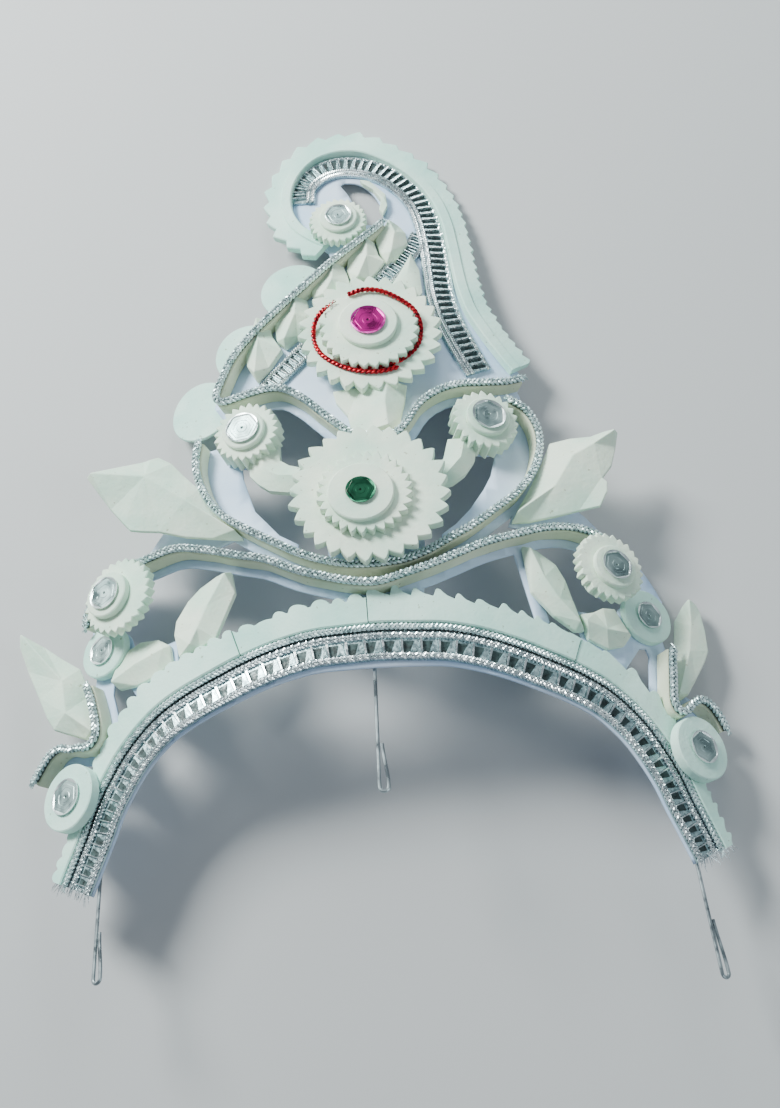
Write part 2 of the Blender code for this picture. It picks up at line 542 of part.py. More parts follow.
def red_cord():
    """The red metallic cord, laid in a little over one turn on the pink rosette's first disc."""
    row = next(row for row in ROSETTES if row.name == "rosette_pink")
    base, middle = row.layers[0], row.layers[1]
    across, up = flat(row)
    frame = seat_frame(across, up, SEATS[row.seat] + base.thick + GAP + RED_CORD_RADIUS)
    pitch = 2 * RED_CORD_RADIUS + GAP
    inner = middle.radius + GAP + RED_CORD_RADIUS
    points = []
    for index in range(RED_CORD_POINTS + 1):
        swept = RED_CORD_TURN * index / RED_CORD_POINTS
        angle = math.radians(RED_CORD_START - swept)
        reach = inner + pitch * (RED_CORD_TURN - swept) / 360.0
        points.append(frame @ Vector((reach * math.cos(angle), reach * math.sin(angle), 0.0)))
    cord("red_cord", points, RED_CORD_RADIUS, RED)


def hair_pin(row):
    """A wire loop glued behind the card: down, round its end and part of the way back."""
    across, up = flat(row)
    frame = seat_frame(across, up, -GAP - PIN_RADIUS, 0.0, row.heading)
    route = [(-PIN_GLUED, 0.0), (0.0, 0.0), (row.length / 2, 0.0)]
    for index in range(PIN_BEND_POINTS + 1):
        angle = math.pi * index / PIN_BEND_POINTS - math.pi / 2
        route.append((row.length + PIN_BEND * math.cos(angle), PIN_BEND * (1 + math.sin(angle))))
    route.append((row.length - row.back, 2 * PIN_BEND))
    cord(row.name, [frame @ Vector((along, side, 0.0)) for along, side in route], PIN_RADIUS, STEEL)


def ribbon_faces(points, right, left):
    """The quads of a ribbon of card along a route."""
    edges = [(point + normal * right, point + normal * left) for point, normal in zip(points, left_normals(points))]
    return [[start[0], end[0], end[1], start[1]] for start, end in zip(edges, edges[1:])]


def round_face(disc):
    centre = flat(disc)
    ring = []
    for index in range(DISC_SIDES):
        angle = math.tau * index / DISC_SIDES
        ring.append(centre + disc.radius * Vector((math.cos(angle), math.sin(angle))))
    return ring


def anticlockwise(outline):
    """The outline, reversed if it runs clockwise."""
    area = 0.0
    for start, end in zip(outline, outline[1:] + outline[:1]):
        area += start.x * end.y - end.x * start.y
    return outline if area > 0 else outline[::-1]


def card_outline():
    """Flat faces that together cover the card, with the eye kept apart."""
    faces = []
    band_line = smooth_route(band_rows(), CARD_ROUTE_STEP)
    faces += ribbon_faces(band_line, -BAND_CARD_BELOW, BAND_CARD_ABOVE)
    for rows in (SCROLL, CURL_LEFT, CURL_RIGHT, BOWL, SPIRE):
        points = smooth_route(rows, CARD_ROUTE_STEP)
        faces += ribbon_faces(points, -FIN_CARD_MARGIN, FIN_CARD_MARGIN)
    faces.append([flat(spot) for spot in SPIRE_PANEL])
    faces.append([flat(spot) for spot in COLUMN])
    faces += [[flat(spot) for spot in tab] for tab in LEAF_TABS + END_TABS + BOWL_SIDES]
    faces += [round_face(disc) for disc in CARD_ROUNDS]
    return faces


def backing_card():
    """The card: the union of its ribbons, panels and rounds less the eye, bent and given its thickness."""
    faces = card_outline()
    eye = [flat(spot) for spot in EYE]
    outlines = [anticlockwise(outline) for outline in faces + [eye]]
    corners = []
    loops = []
    for outline in outlines:
        loops.append(list(range(len(corners), len(corners) + len(outline))))
        corners += outline
    points, _, triangles, _, _, owners = delaunay_2d_cdt(corners, [], loops, 1, 1e-6, True)
    shape = bmesh.new()
    verts = [shape.verts.new((*point, 0.0)) for point in points]
    for triangle, owner in zip(triangles, owners):
        if owner and len(outlines) - 1 not in owner:
            shape.faces.new([verts[index] for index in triangle])
    bmesh.ops.delete(shape, geom=[vert for vert in shape.verts if not vert.link_faces], context="VERTS")
    bmesh.ops.remove_doubles(shape, verts=shape.verts, dist=GAP)
    bmesh.ops.dissolve_limit(shape, angle_limit=math.radians(1), verts=shape.verts, edges=shape.edges)
    reach = int(1.3 * HALF_SPAN / CARD_BEND_STEP)
    for index in range(-reach, reach + 1):
        geometry = list(shape.verts) + list(shape.edges) + list(shape.faces)
        line = Vector((index * CARD_BEND_STEP, 0.0, 0.0))
        bmesh.ops.bisect_plane(shape, geom=geometry, dist=1e-6, plane_co=line, plane_no=(1.0, 0.0, 0.0))
    bmesh.ops.triangulate(shape, faces=shape.faces)
    for vert in shape.verts:
        vert.co = bend(vert.co.x, vert.co.y, 0.0)
    mesh = bpy.data.meshes.new("backing_card")
    shape.to_mesh(mesh)
    shape.free()
    obj = bpy.data.objects.new("backing_card", mesh)
    crown.objects.link(obj)
    paint(obj, CARD)
    wall = obj.modifiers.new("wall", "SOLIDIFY")
    wall.thickness = CARD_THICK
    wall.offset = 1.0
    return obj


def band_rows():
    """The whole cord line of the band, from its left end to its right end."""
    left = [Spot(-spot.across, spot.up) for spot in reversed(BAND_HALF[1:])]
    return left + BAND_HALF


def band():
    """The serrated strip, the cord and the pleated trim of the band."""
    points = smooth_route(band_rows(), BAND_TOOTH_PITCH / 2)
    count = len(points)
    root = BAND_CORD_RADIUS + GAP
    outer = []
    for index, tooth in enumerate(toothed(count, root, BAND_TOOTH_DEPTH)):
        outward = abs(2 * index / (count - 1) - 1)
        outer.append(tooth + BAND_STRIP_WIDTH + (BAND_STRIP_END_WIDTH - BAND_STRIP_WIDTH) * outward)
    strip("band_strip", points, [root] * count, outer, LAYER, [LAYER + STRIP_THICK] * count, PITH)
    pleated_trim("band_trim", band_rows(), -root - TRIM_WIDTH / 2, TRIM_WIDTH)
    line = smooth_route(band_rows(), CORD_STEP)
    height = LAYER + BAND_CORD_RADIUS
    cord("band_cord", [bend(*point, height) for point in line], BAND_CORD_RADIUS, SILVER)


def crest():
    """The serrated strip that curls over the top of the spire, and the pleated trims inside it."""
    points = smooth_route(CREST, CREST_TOOTH_PITCH / 2)
    count = len(points)
    outer = toothed(count, CREST_HALF_WIDTH, CREST_TOOTH_DEPTH)
    tops = [LAYER + STRIP_THICK] * count
    strip("spire_crest", points, [-CREST_HALF_WIDTH] * count, outer, LAYER, tops, PITH)
    pleated_trim("crest_trim", CREST_TRIM, 0.0, SPIRE_TRIM_WIDTH)
    pleated_trim("inner_trim", INNER_TRIM, 0.0, SPIRE_TRIM_WIDTH)


def join_side_stem(body, row):
    """Carve a side stem in one piece with its rosette."""
    stem = add_mesh(row.name, leaf_shape(row), PITH)
    union = body.modifiers.new("stem", "BOOLEAN")
    union.operation = "UNION"
    union.solver = "EXACT"
    union.object = stem
    crown.objects.unlink(stem)
    cutters.objects.link(stem)
    stem.hide_render = True
    stem.display_type = "WIRE"


def world_points():
    """Every vertex of the crown's evaluated pieces."""
    graph = bpy.context.evaluated_depsgraph_get()
    points = []
    for obj in crown.objects:
        solid = obj.evaluated_get(graph)
        mesh = solid.to_mesh()
        points += [solid.matrix_world @ vert.co for vert in mesh.vertices]
        solid.to_mesh_clear()
    return points


def lay_down():
    """Lay the crown on its back on three feet, and centre it over the origin."""
    points = world_points()
    middle = CROWN_HEIGHT / 4
    down = Vector((0.0, 0.0, 1.0))
    for _ in range(8):
        feet = []
        for keep in (
            lambda p: p.y < middle and p.x < 0,
            lambda p: p.y < middle and p.x >= 0,
            lambda p: p.y >= 2 * middle,
        ):
            feet.append(min((point for point in points if keep(point)), key=down.dot))
        down = (feet[1] - feet[0]).cross(feet[2] - feet[0]).normalized()
    upright = down.rotation_difference(Vector((0.0, 0.0, 1.0))).to_matrix().to_4x4()
    laid = [upright @ point for point in points]
    lows = [min(point[axis] for point in laid) for axis in range(3)]
    highs = [max(point[axis] for point in laid) for axis in range(3)]
    centre = Vector(((lows[0] + highs[0]) / 2, (lows[1] + highs[1]) / 2, lows[2]))
    settle = Matrix.Translation(-centre) @ upright
    for obj in list(crown.objects) + list(cutters.objects):
        obj.matrix_world = settle @ obj.matrix_world
    return settle


for old in list(bpy.data.objects):
    bpy.data.objects.remove(old)
crown = bpy.data.collections.new("shola_wedding_crown")
cutters = bpy.data.collections.new("cutters")
bpy.context.scene.collection.children.link(crown)
bpy.context.scene.collection.children.link(cutters)

backing_card()
band()
fin("scroll_rib", SCROLL)
fin_cord("scroll_cord", SCROLL)
fin("curl_rib_left", CURL_LEFT)
fin_cord("curl_cord_left", CURL_LEFT)
fin("curl_rib_right", CURL_RIGHT)
fin_cord("curl_cord_right", CURL_RIGHT)
fin("bowl_rib", BOWL)
fin_cord("bowl_cord", BOWL)
fin("spire_rib", SPIRE)
fin_cord("spire_cord", SPIRE)
crest()
diamonds()
scallops()
for rosette_row in ROSETTES:
    rosette_body = rosette(rosette_row)
    if rosette_row.name in SIDE_STEMS:
        join_side_stem(rosette_body, SIDE_STEMS[rosette_row.name])
red_cord()
for leaf_row in LEAVES:
    leaf(leaf_row)
for pin_row in PINS:
    hair_pin(pin_row)
settled = lay_down()
print("laid down:", [[round(value, 5) for value in line] for line in settled])
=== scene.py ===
"""Looks of the shola wedding crown: carved pith, plaited silver cord, pleated ribbon and cup sequins.

Pieces are drawn on the unrolled card, across (u), up (v) and out from its back (w), bent round an upright
cylinder and laid on the floor as the solids lie. Lengths are in metres.
"""
import math
from collections import namedtuple

import bmesh
import bpy
import numpy as np
from mathutils import Matrix, Vector, noise
from mathutils.geometry import delaunay_2d_cdt


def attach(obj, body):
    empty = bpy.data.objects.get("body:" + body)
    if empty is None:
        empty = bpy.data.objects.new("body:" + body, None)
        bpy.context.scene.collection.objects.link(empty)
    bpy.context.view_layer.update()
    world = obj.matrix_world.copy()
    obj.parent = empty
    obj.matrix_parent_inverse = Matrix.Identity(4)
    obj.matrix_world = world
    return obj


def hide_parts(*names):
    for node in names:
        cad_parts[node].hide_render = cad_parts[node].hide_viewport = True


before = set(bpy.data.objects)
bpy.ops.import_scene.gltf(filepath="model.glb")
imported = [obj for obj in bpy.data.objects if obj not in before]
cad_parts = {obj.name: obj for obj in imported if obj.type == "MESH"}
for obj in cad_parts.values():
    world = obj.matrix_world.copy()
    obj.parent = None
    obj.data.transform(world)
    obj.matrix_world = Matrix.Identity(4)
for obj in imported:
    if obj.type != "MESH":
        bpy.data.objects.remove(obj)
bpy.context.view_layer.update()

StripCut = namedtuple("StripCut", "across extra depth pitch")
Spot = namedtuple("Spot", "across up")
Disc = namedtuple("Disc", "across up radius")
Layer = namedtuple("Layer", "radius depth thick side shift")
Rosette = namedtuple("Rosette", "name across up seat post teeth sequin sequin_radius layers")
Pin = namedtuple("Pin", "name across up heading length back")
Plait = namedtuple("Plait", "swing lift strand pitch")
Trim = namedtuple("Trim", "inner outer window_inner window_outer pitch end_pitch braids selvages")
Fold = namedtuple("Fold", "low_start low_end high_end high_start past rise inset slot")
Carved = namedtuple("Carved", "node edge peak outline ridge")
Standing = namedtuple("Standing", "node across up forward heading edge peak outline ridge")


def thousandths(kind, *rows):
    """Rows of one kind: places in thousandths of the half span and of the height, lengths in millimetres."""
    return [kind(*(number / 1000 for number in row)) for row in rows]


def spots(*rows):
    """Spots from places across and up in thousandths."""
    return thousandths(Spot, *rows)


# The card and its layers, as the solids have them
HALF_SPAN = 0.100
CROWN_HEIGHT = 0.200
BEND_RADIUS = 0.160
CARD_THICK = 0.0008
GAP = 0.0003
FIN_HEIGHT = 0.0050
FIN_THICK = 0.0022
CORD_RADIUS = 0.00115
STRIP_THICK = 0.0028
LAYER = CARD_THICK + GAP
STRIP_TOP = LAYER + STRIP_THICK
FIN_TOP = LAYER + FIN_HEIGHT
FIN_CORD_HEIGHT = FIN_TOP + GAP + CORD_RADIUS
SEATS = {"card": LAYER, "strip": STRIP_TOP + GAP, "cord": FIN_CORD_HEIGHT + CORD_RADIUS + GAP}

# How the bent card lies on the floor: its standing normal, and where its origin comes to
LAID_NORMAL = Vector((-0.01726, -0.17008, 0.98528))
LAID_ORIGIN = Vector((0.00499, -0.05913, 0.03553))

# The camera, set up over the crown with its lean at FITTED_LEAN
FITTED_LEAN = math.radians(8.0)
CAMERA_ELEVATION = math.radians(68.0)
CAMERA_AZIMUTH = math.radians(0.36)
CAMERA_ROLL = math.radians(-3.51)
CAMERA_DISTANCE = 0.42412
CAMERA_TARGET = Vector((0.00414, 0.03423, 0.0))
CAMERA_LENS = 45.49
FLOOR_REACH = 15.0

# The band
BAND_STRIP_WIDTH = 0.0074
BAND_STRIP_END_WIDTH = 0.0030
BAND_SEAMS = (-0.410, -0.030, 0.570)
# How much wider than its plain taper the cut strip is, and its teeth's depth and pitch, along the card
STRIP_CUTS = thousandths(
    StripCut, (-1050, 0.4, 0.9, 4), (-900, 0.8, 1.2, 4.3), (-760, 2.9, 1.5, 4.5), (-610, 4, 1.5, 4.6),
    (-500, 2.9, 1.5, 4.8), (-340, 1.3, 1.3, 5.2), (-90, 0.8, 1.4, 5.2), (-20, 1.6, 3, 6.2),
    (160, 1.6, 3.2, 6.2), (270, 1, 2.4, 5.8), (410, 2, 1.8, 5.2), (480, 2.8, 0.9, 5), (620, 3, 0.4, 6),
    (720, 2.2, 2.2, 8.5), (820, 2, 2, 8), (920, 1, 1.2, 4.6), (1050, 0.4, 1, 4.2))
BAND_CORD_RADIUS = 0.0010
BAND_ROOT = BAND_CORD_RADIUS + GAP

# The crest
CREST_HALF_WIDTH = 0.0040
CREST_TOOTH_PITCH = 0.0062
CREST_FINE_PITCH = 0.0040
CREST_TOOTH_DEPTH = 0.0021
CREST_RAISED_SHARE = 0.42
CREST_RISE = 0.0006

# The card's ribbons and rounds
BAND_CARD_ABOVE = 0.0060
BAND_CARD_BELOW = 0.0104
BAND_CARD_MIDDLE = 0.0016
FIN_CARD_MARGIN = 0.0036
CARD_ROUTE_STEP = 0.0040
CARD_BEND_STEP = 0.0040
CARD_ROUND_SIDES = 32

# Edges of fins, strips and carved pieces
FIN_STEP = 0.0012
FIN_ROUNDING = 0.0004
CHAMFER = 0.00035
SEAM_STEP = 0.00018
SHARP_ANGLE = math.radians(35)
BEVEL_ANGLE = math.radians(25)
CARVED_BEVEL = 0.0003
RIM_BEVEL = 0.0002

# Plaits: how far a strand swings across and up, its radius, and the length of one full swing
FIN_PLAIT = Plait(0.00086, 0.00046, 0.00050, 0.0046)
BAND_PLAIT = Plait(0.00066, 0.00036, 0.00042, 0.0040)
WIDE_PLAIT = Plait(0.00070, 0.00034, 0.00044, 0.0034)
EDGE_PLAIT = Plait(0.00050, 0.00026, 0.00033, 0.0027)
THREAD_PLAIT = Plait(0.00034, 0.00018, 0.00024, 0.0019)

# Trims: a silver ribbon with open folds between its braids, and a raised selvage where it has one.
# Edges, windows, braids and selvages are offsets from the trim's route.
SELVAGE_RISE = 0.0008
BAND_TRIM = Trim(-0.0102, -0.0004, -0.0079, -0.0042, 0.0055, 0.0028,
                 [(-0.0024, WIDE_PLAIT), (-0.0091, WIDE_PLAIT)], [(-0.0022, -0.0004)])
CREST_RIBBON = Trim(-0.0046, 0.0052, -0.0012, 0.0034, 0.0027, 0.0027,
                    [(0.0041, THREAD_PLAIT), (-0.0021, EDGE_PLAIT), (-0.0038, EDGE_PLAIT)], [])
INNER_RIBBON = Trim(-0.0034, 0.0034, -0.0018, 0.0018, 0.0026, 0.0026,
                    [(0.0026, EDGE_PLAIT), (-0.0026, EDGE_PLAIT)], [])
STRAND_SIDES = 7
STRANDS = 3
END_SIDES = 5
CORE_EVERY = 3
CORE_SHARE = 1.25
# Material slots for painted shade: near black for gaps and valleys, and a dimmer silver for half-shade
PAINTED_SHADE_SLOT = 1
HALF_SHADE_SLOT = 2
RIBBON_THICK = 0.0006
BLOCK_SUNK = 0.0002
# Blocks along a trim's pleat: the share of the pleat where each corner stands, how far the block reaches past
# the window, how high it rises, how much its top is drawn in, and its material slot. The low first block is
# painted near black as the shade in the pleat's valley, and the third a dimmer silver as half-shade on its
# falling face.
FOLDS = [
    Fold(0.44, 0.76, 0.88, 0.28, 0.0, 0.0001, 0.00004, PAINTED_SHADE_SLOT),
    Fold(0.30, 0.42, 0.30, 0.14, 0.0003, 0.0012, 0.00012, 0),
    Fold(0.80, 1.26, 1.10, 0.93, 0.0002, 0.0006, 0.00020, HALF_SHADE_SLOT),
]

# Loose threads at the band's cut ends
FRINGE_THREADS = 30
FRINGE_START = -0.0098
FRINGE_WIDTH = 0.0150
FRINGE_RADIUS = 0.00016

# Steps along plaits, and along toothed strips and the red cord
FINE_STEP = 0.00045
STRIP_STEP = 0.00030
ROUTE_SHARES = 24

# Rosettes, sequins, scallops, red cord and pins
POST_SIDES = 40
DISC_SIDES = 64
TOOTH_SAMPLES = 8
RIM_ROUNDING = 0.0003
TOOTH_PEAK = 0.68
SEQUIN_THICK = 0.0002
SEQUIN_DEPTH = 0.0009
SEQUIN_SIDES = 48
SCALLOP_RADIUS = 0.0116
SCALLOP_THICK = 0.0013
SCALLOP_SIDES = 72
RED_CORD_RADIUS = 0.0009
RED_PITCH = 0.0030
RED_SWING = 0.00042
RED_STRAND = 0.00047
PIN_RADIUS = 0.00055
PIN_BEND = 0.0013
PIN_GLUED = 0.009
PIN_STEP = 0.001
PIN_BEND_STEPS = 16
PIN_SIDES = 10

# Half of the band's cord line, from the middle to the right end; the left half mirrors it.
BAND_HALF = spots(
    (0, 51.5), (100, 50), (200, 48), (300, 39), (400, 25), (500, 7.5), (600, -11), (700, -36),
    (795, -76), (860, -117.5), (905, -155), (940, -195), (975, -230), (1010, -265))
BAND = [Spot(-spot.across, spot.up) for spot in reversed(BAND_HALF[1:])] + BAND_HALF
SCROLL = spots(
    (-950, 142), (-943, 166), (-896, 199), (-810, 220), (-724, 225), (-619, 229), (-513, 212),
    (-421, 193), (-329, 176), (-242, 151), (-155, 133), (-77, 121), (0, 117), (78, 129), (156, 144),
    (233, 162), (321, 184), (417, 202), (514, 219), (601, 226), (678, 221), (754, 215), (831, 195),
    (888, 163), (921, 135))
SCROLL_RIB = SCROLL[:21] + spots((722, 204))
CURL_LEFT = spots(
    (-929, 36), (-910, 14), (-894, -11), (-882, -34), (-880, -52), (-893, -63), (-918, -67),
    (-945, -63), (-981, -61), (-1027, -53), (-1074, -58), (-1111, -75), (-1143, -92))
CURL_RIGHT = spots(
    (905, 41), (894, 19), (888, -5), (880, -30), (876, -48), (888, -62), (914, -63), (945, -48),
    (982, -36), (1020, -40), (1053, -56), (1076, -76))
BOWL = spots(
    (-547, 419), (-554, 392), (-551, 362), (-527, 322), (-489, 286), (-441, 258), (-378, 232),
    (-310, 207), (-232, 180), (-155, 161), (-77, 150), (0, 148), (78, 153), (146, 167), (214, 189),
    (292, 216), (369, 249), (437, 281), (485, 315), (516, 352), (528, 387), (520, 417), (490, 444),
    (442, 459))
SPIRE = spots(
    (73, 831), (30, 808), (-38, 777), (-116, 740), (-194, 701), (-271, 664), (-349, 626),
    (-407, 593), (-441, 568), (-465, 541), (-484, 516), (-488, 498), (-466, 488), (-426, 489), (-368, 494),
    (-310, 496), (-261, 489), (-203, 465), (-150, 435), (-97, 406), (-55, 388), (10, 381), (70, 384),
    (108, 402), (156, 442), (214, 467), (282, 482), (359, 488), (437, 495), (495, 506))
CREST = spots(
    (-135, 798), (-185, 818), (-235, 845), (-268, 880), (-280, 920), (-265, 965), (-220, 1005),
    (-155, 1032), (-75, 1043), (10, 1040), (90, 1022), (170, 992), (240, 952), (290, 907), (320, 855),
    (335, 800), (345, 748), (358, 700), (382, 655), (425, 612), (470, 575), (510, 545))
CREST_TRIM = spots(
    (-205, 918), (-195, 952), (-150, 980), (-80, 994), (0, 991), (70, 978), (130, 955), (180, 925),
    (215, 890), (236, 843), (247, 790), (252, 740), (258, 690), (277, 642), (310, 595), (345, 553),
    (366, 530))
INNER_TRIM = spots(
    (-345, 510), (-265, 552), (-130, 622), (20, 697), (100, 742), (165, 785), (205, 825))

# Flat parts of the card between its ribbons
CARD_PANELS = [
    # The spire's sheet, and the column under it
    spots((-500, 500), (-460, 575), (-360, 645), (-200, 722), (-100, 775), (-120, 800),
        (-200, 835), (-255, 890), (-250, 960), (-190, 1010), (-70, 1035), (60, 1025), (170, 985),
        (245, 940), (300, 880), (325, 800), (340, 730), (365, 670), (430, 600), (530, 530), (500, 500),
        (360, 485), (220, 465), (110, 400), (-60, 385), (-200, 460), (-300, 492)),
    spots((-110, 60), (130, 60), (150, 200), (115, 410), (-110, 410), (-150, 200)),
    # Tabs behind the leaves
    spots((-560, 375), (-440, 240), (-600, 220), (-760, 255), (-700, 290)),
    spots((500, 345), (420, 235), (600, 225), (770, 235), (700, 268)),
    spots((420, 455), (495, 450), (500, 510), (420, 510)),
    spots((420, 205), (465, 205), (520, 70), (480, 60)),
    spots((-840, 50), (-810, 75), (-640, 85), (-620, -20), (-720, -35)),
    spots((620, -20), (620, 95), (800, 90), (840, 55), (700, -35)),
    # Tabs behind the end rosettes and discs
    spots((-985, 150), (-915, 150), (-870, 95), (-880, 20), (-960, 20), (-950, 95)),
    spots((955, 145), (885, 145), (830, 90), (870, 30), (945, 30), (920, 90)),
    spots((-840, -50), (-825, -110), (-910, -125), (-945, -60)),
    spots((840, -45), (825, -110), (910, -120), (955, -45)),
    # The sides of the bowl
    spots((-545, 420), (-552, 365), (-520, 315), (-440, 257), (-310, 206), (-245, 186),
        (-240, 212), (-300, 233), (-380, 285), (-420, 350), (-430, 420)),
    spots((520, 420), (516, 355), (484, 315), (436, 280), (366, 247), (290, 215),
        (205, 188), (205, 215), (250, 233), (300, 262), (350, 300), (380, 330), (400, 370), (410, 420)),
]
EYE = spots(
    (-65, 958), (0, 955), (48, 930), (78, 893), (78, 868), (35, 854), (-10, 870), (-18, 900),
    (-40, 930))
CARD_ROUNDS = thousandths(
    Disc, (-30, 270, 18), (-390, 413, 9), (357, 410, 9), (-75, 850, 8), (-840, 180, 8), (730, 165, 8),
    (-885, 94, 7.8), (834, 88, 7.8), (-975, -139, 8.5), (955, -118, 8.5))
SCALLOPS = spots((-248, 728), (-417, 612), (-580, 512))

ROSETTES = [
    Rosette("rosette_centre", -0.03, 0.27, "cord", 0.014, 28, "sequin_green", 0.0046, thousandths(
        Layer, (25, 3, 3, 2.2, -1.4), (15, 2.2, 3, 0.8, -3.5), (10.1, 0, 2, -0.3, -4.6))),
    Rosette("rosette_pink", 0.01, 0.5925, "strip", 0.009, 27, "sequin_pink", 0.0058, thousandths(
        Layer, (24.2, 2.9, 2.8, 0.5, 0), (16.6, 1.8, 3, 0.4, -0.8), (9.7, 0, 2, 0, 0))),
    Rosette("rosette_silver_left", -0.386, 0.4125, "card", 0.0, 24, "sequin_silver_left", 0.0055, thousandths(
        Layer, (11.2, 1.7, 6.8, 0, 0.8), (7.1, 0, 2, -0.3, 0.6))),
    Rosette("rosette_silver_right", 0.357, 0.41, "card", 0.0, 22, "sequin_silver_right", 0.0055, thousandths(
        Layer, (11.2, 1.7, 6.8, 0, 0.6), (7.1, 0, 2, 0.4, 0.6))),
    Rosette("rosette_top", -0.075, 0.8425, "strip", 0.004, 25, "sequin_top", 0.0046, thousandths(
        Layer, (10.3, 1.3, 3, 0, 0), (6.6, 0, 1.6, 0.4, 0.2))),
    Rosette("rosette_outer_left", -0.81, 0.16, "cord", 0.004, 26, "sequin_outer_left", 0.0054, thousandths(
        Layer, (13, 1.5, 3.4, 2.6, -0.2), (7.6, 0, 2.6, 0.4, 0))),
    Rosette("rosette_outer_right", 0.69, 0.146, "cord", 0.004, 26, "sequin_outer_right", 0.005, thousandths(
        Layer, (11.7, 1.2, 3.4, -0.6, 0.8), (7.2, 0, 1.8, 0, 0))),
    Rosette("disc_small_left", -0.9, 0.097, "card", 0.0, 0, "sequin_small_left", 0.0047, thousandths(
        Layer, (8.8, 0, 3, 0, 0))),
    Rosette("disc_small_right", 0.858, 0.101, "card", 0.0, 0, "sequin_small_right", 0.0046, thousandths(
        Layer, (9.1, 0, 2.6, 0, 0))),
    Rosette("disc_bottom_left", -0.975, -0.139, "strip", 0.0, 0, "sequin_bottom_left", 0.0056, thousandths(
        Layer, (10.3, 0, 3.4, 0, 0))),
    Rosette("disc_bottom_right", 0.955, -0.118, "strip", 0.0, 0, "sequin_bottom_right", 0.0052, thousandths(
        Layer, (10, 0, 3.4, 0, 0))),
]

# Carved pieces that lie on the card: the heights of the edge and of the ridge, the outline, and the ridge's
# line, in millimetres across and up the card
FLAT_CARVINGS = [
    Carved("leaf_inner_left", 1.6, 4.6, [
        (-45, 35.5), (-43.7, 28), (-50, 13.5), (-55, 11.5), (-62, 10), (-64, 18), (-63.5, 22.5),
        (-59.5, 28.5), (-55.5, 32), (-50, 35)], [(-46, 34), (-51.5, 24), (-54.5, 17), (-57, 12)]),
    Carved("leaf_half_moon", 1.4, 4.2, [
        (-86.5, 9), (-85.5, 13.5), (-81, 17.5), (-76.5, 19), (-69.8, 18), (-65.5, 15), (-64.5, 9),
        (-70, 6), (-77, 4.5), (-84, 5)], [(-85, 7), (-76, 10.5), (-66.5, 13)]),
    Carved("leaf_inner_right", 1.6, 4.4, [
        (45, 39), (50, 37.5), (55.5, 33.5), (58.2, 28), (59.8, 21.5), (62.5, 11.5), (59.5, 11), (53, 15.5),
        (46.5, 23)], [(46.5, 37), (50, 27), (54, 20), (60, 13)]),
    Carved("leaf_lower_right", 1.5, 4, [
        (61.5, 17), (66.5, 18.5), (70, 20.5), (74.2, 21), (76.6, 16.5), (79, 12.5), (76, 8.5), (70, 6.5),
        (63.5, 9)], [(62.5, 14), (69, 12), (76.5, 12)]),
    Carved("centre_stem", 2, 5.2, [
        (-11.5, 97.5), (-10.5, 93), (-7, 87.5), (-5.5, 79.5), (9.5, 79.5), (10, 86), (11.5, 92),
        (12.5, 98.5), (5, 99.5), (-3, 98.5)], [(6, 98.5), (5, 90), (5.5, 81)]),
    Carved("diamond_1", 2.4, 5.6, [
        (4.9, 161.5), (9.3, 169.3), (13.2, 167.8), (15.4, 164.5), (15.8, 159.5), (11.2, 152.2),
        (8.4, 151.2), (6.2, 155.5)], [(9.6, 168), (11.3, 162.5), (9.6, 153)]),
    Carved("diamond_2", 2.4, 5.6, [
        (-4.8, 154.3), (-2.3, 158.2), (2.2, 160.9), (4.4, 160.2), (5.7, 154.3), (7.6, 151.4), (2.2, 143.4),
        (-3.2, 141.7), (-5.3, 148.2)], [(1.8, 160), (1.6, 152), (-1.6, 143)]),
    Carved("diamond_3", 2.4, 5.6, [
        (-17.6, 141.8), (-14.4, 147.2), (-10, 151.3), (-6.2, 149.7), (-5.2, 146.2), (-4.3, 141.6),
        (-8.6, 137.2), (-13.3, 135.2), (-17.2, 137.6)], [(-9.6, 150), (-10.2, 143), (-13, 136.5)]),
    Carved("diamond_4", 2.4, 5.6, [
        (-30.4, 128.6), (-27, 134.4), (-22.8, 138.6), (-19.2, 136.8), (-18.4, 132.4), (-18, 128.2),
        (-22.4, 121.8), (-26.8, 118.2), (-29.6, 121.4)], [(-22.6, 137.3), (-22.8, 129.5), (-26.4, 119.5)]),
    Carved("diamond_5", 2.4, 5.6, [
        (-40.6, 121.4), (-38.4, 127.6), (-35.8, 132), (-32.2, 130.4), (-31.3, 123.8), (-28, 117.4),
        (-32.4, 110.6), (-36.6, 106.2), (-40, 113.2)], [(-35.8, 130.6), (-35.2, 121.5), (-36.4, 107.5)]),
]
SIDE_STEMS = {
    "rosette_silver_left": Carved("stem", 2.2, 4.6, [
        (-39.5, 78), (-38.8, 69), (-36.2, 65.5), (-32.5, 62.2), (-26.5, 60.5), (-22, 61), (-22, 69),
        (-26, 70.5), (-29, 73), (-29.2, 80)], [(-34.5, 77), (-33.5, 69), (-29, 66), (-23.5, 65)]),
    "rosette_silver_right": Carved("stem", 2.2, 4.6, [
        (24.2, 77), (22.5, 70), (20.5, 66), (20.5, 59), (25, 60.5), (29, 64), (32.2, 69), (33.6, 76)],
        [(29, 76), (27.4, 69), (22.5, 62.5)]),
}

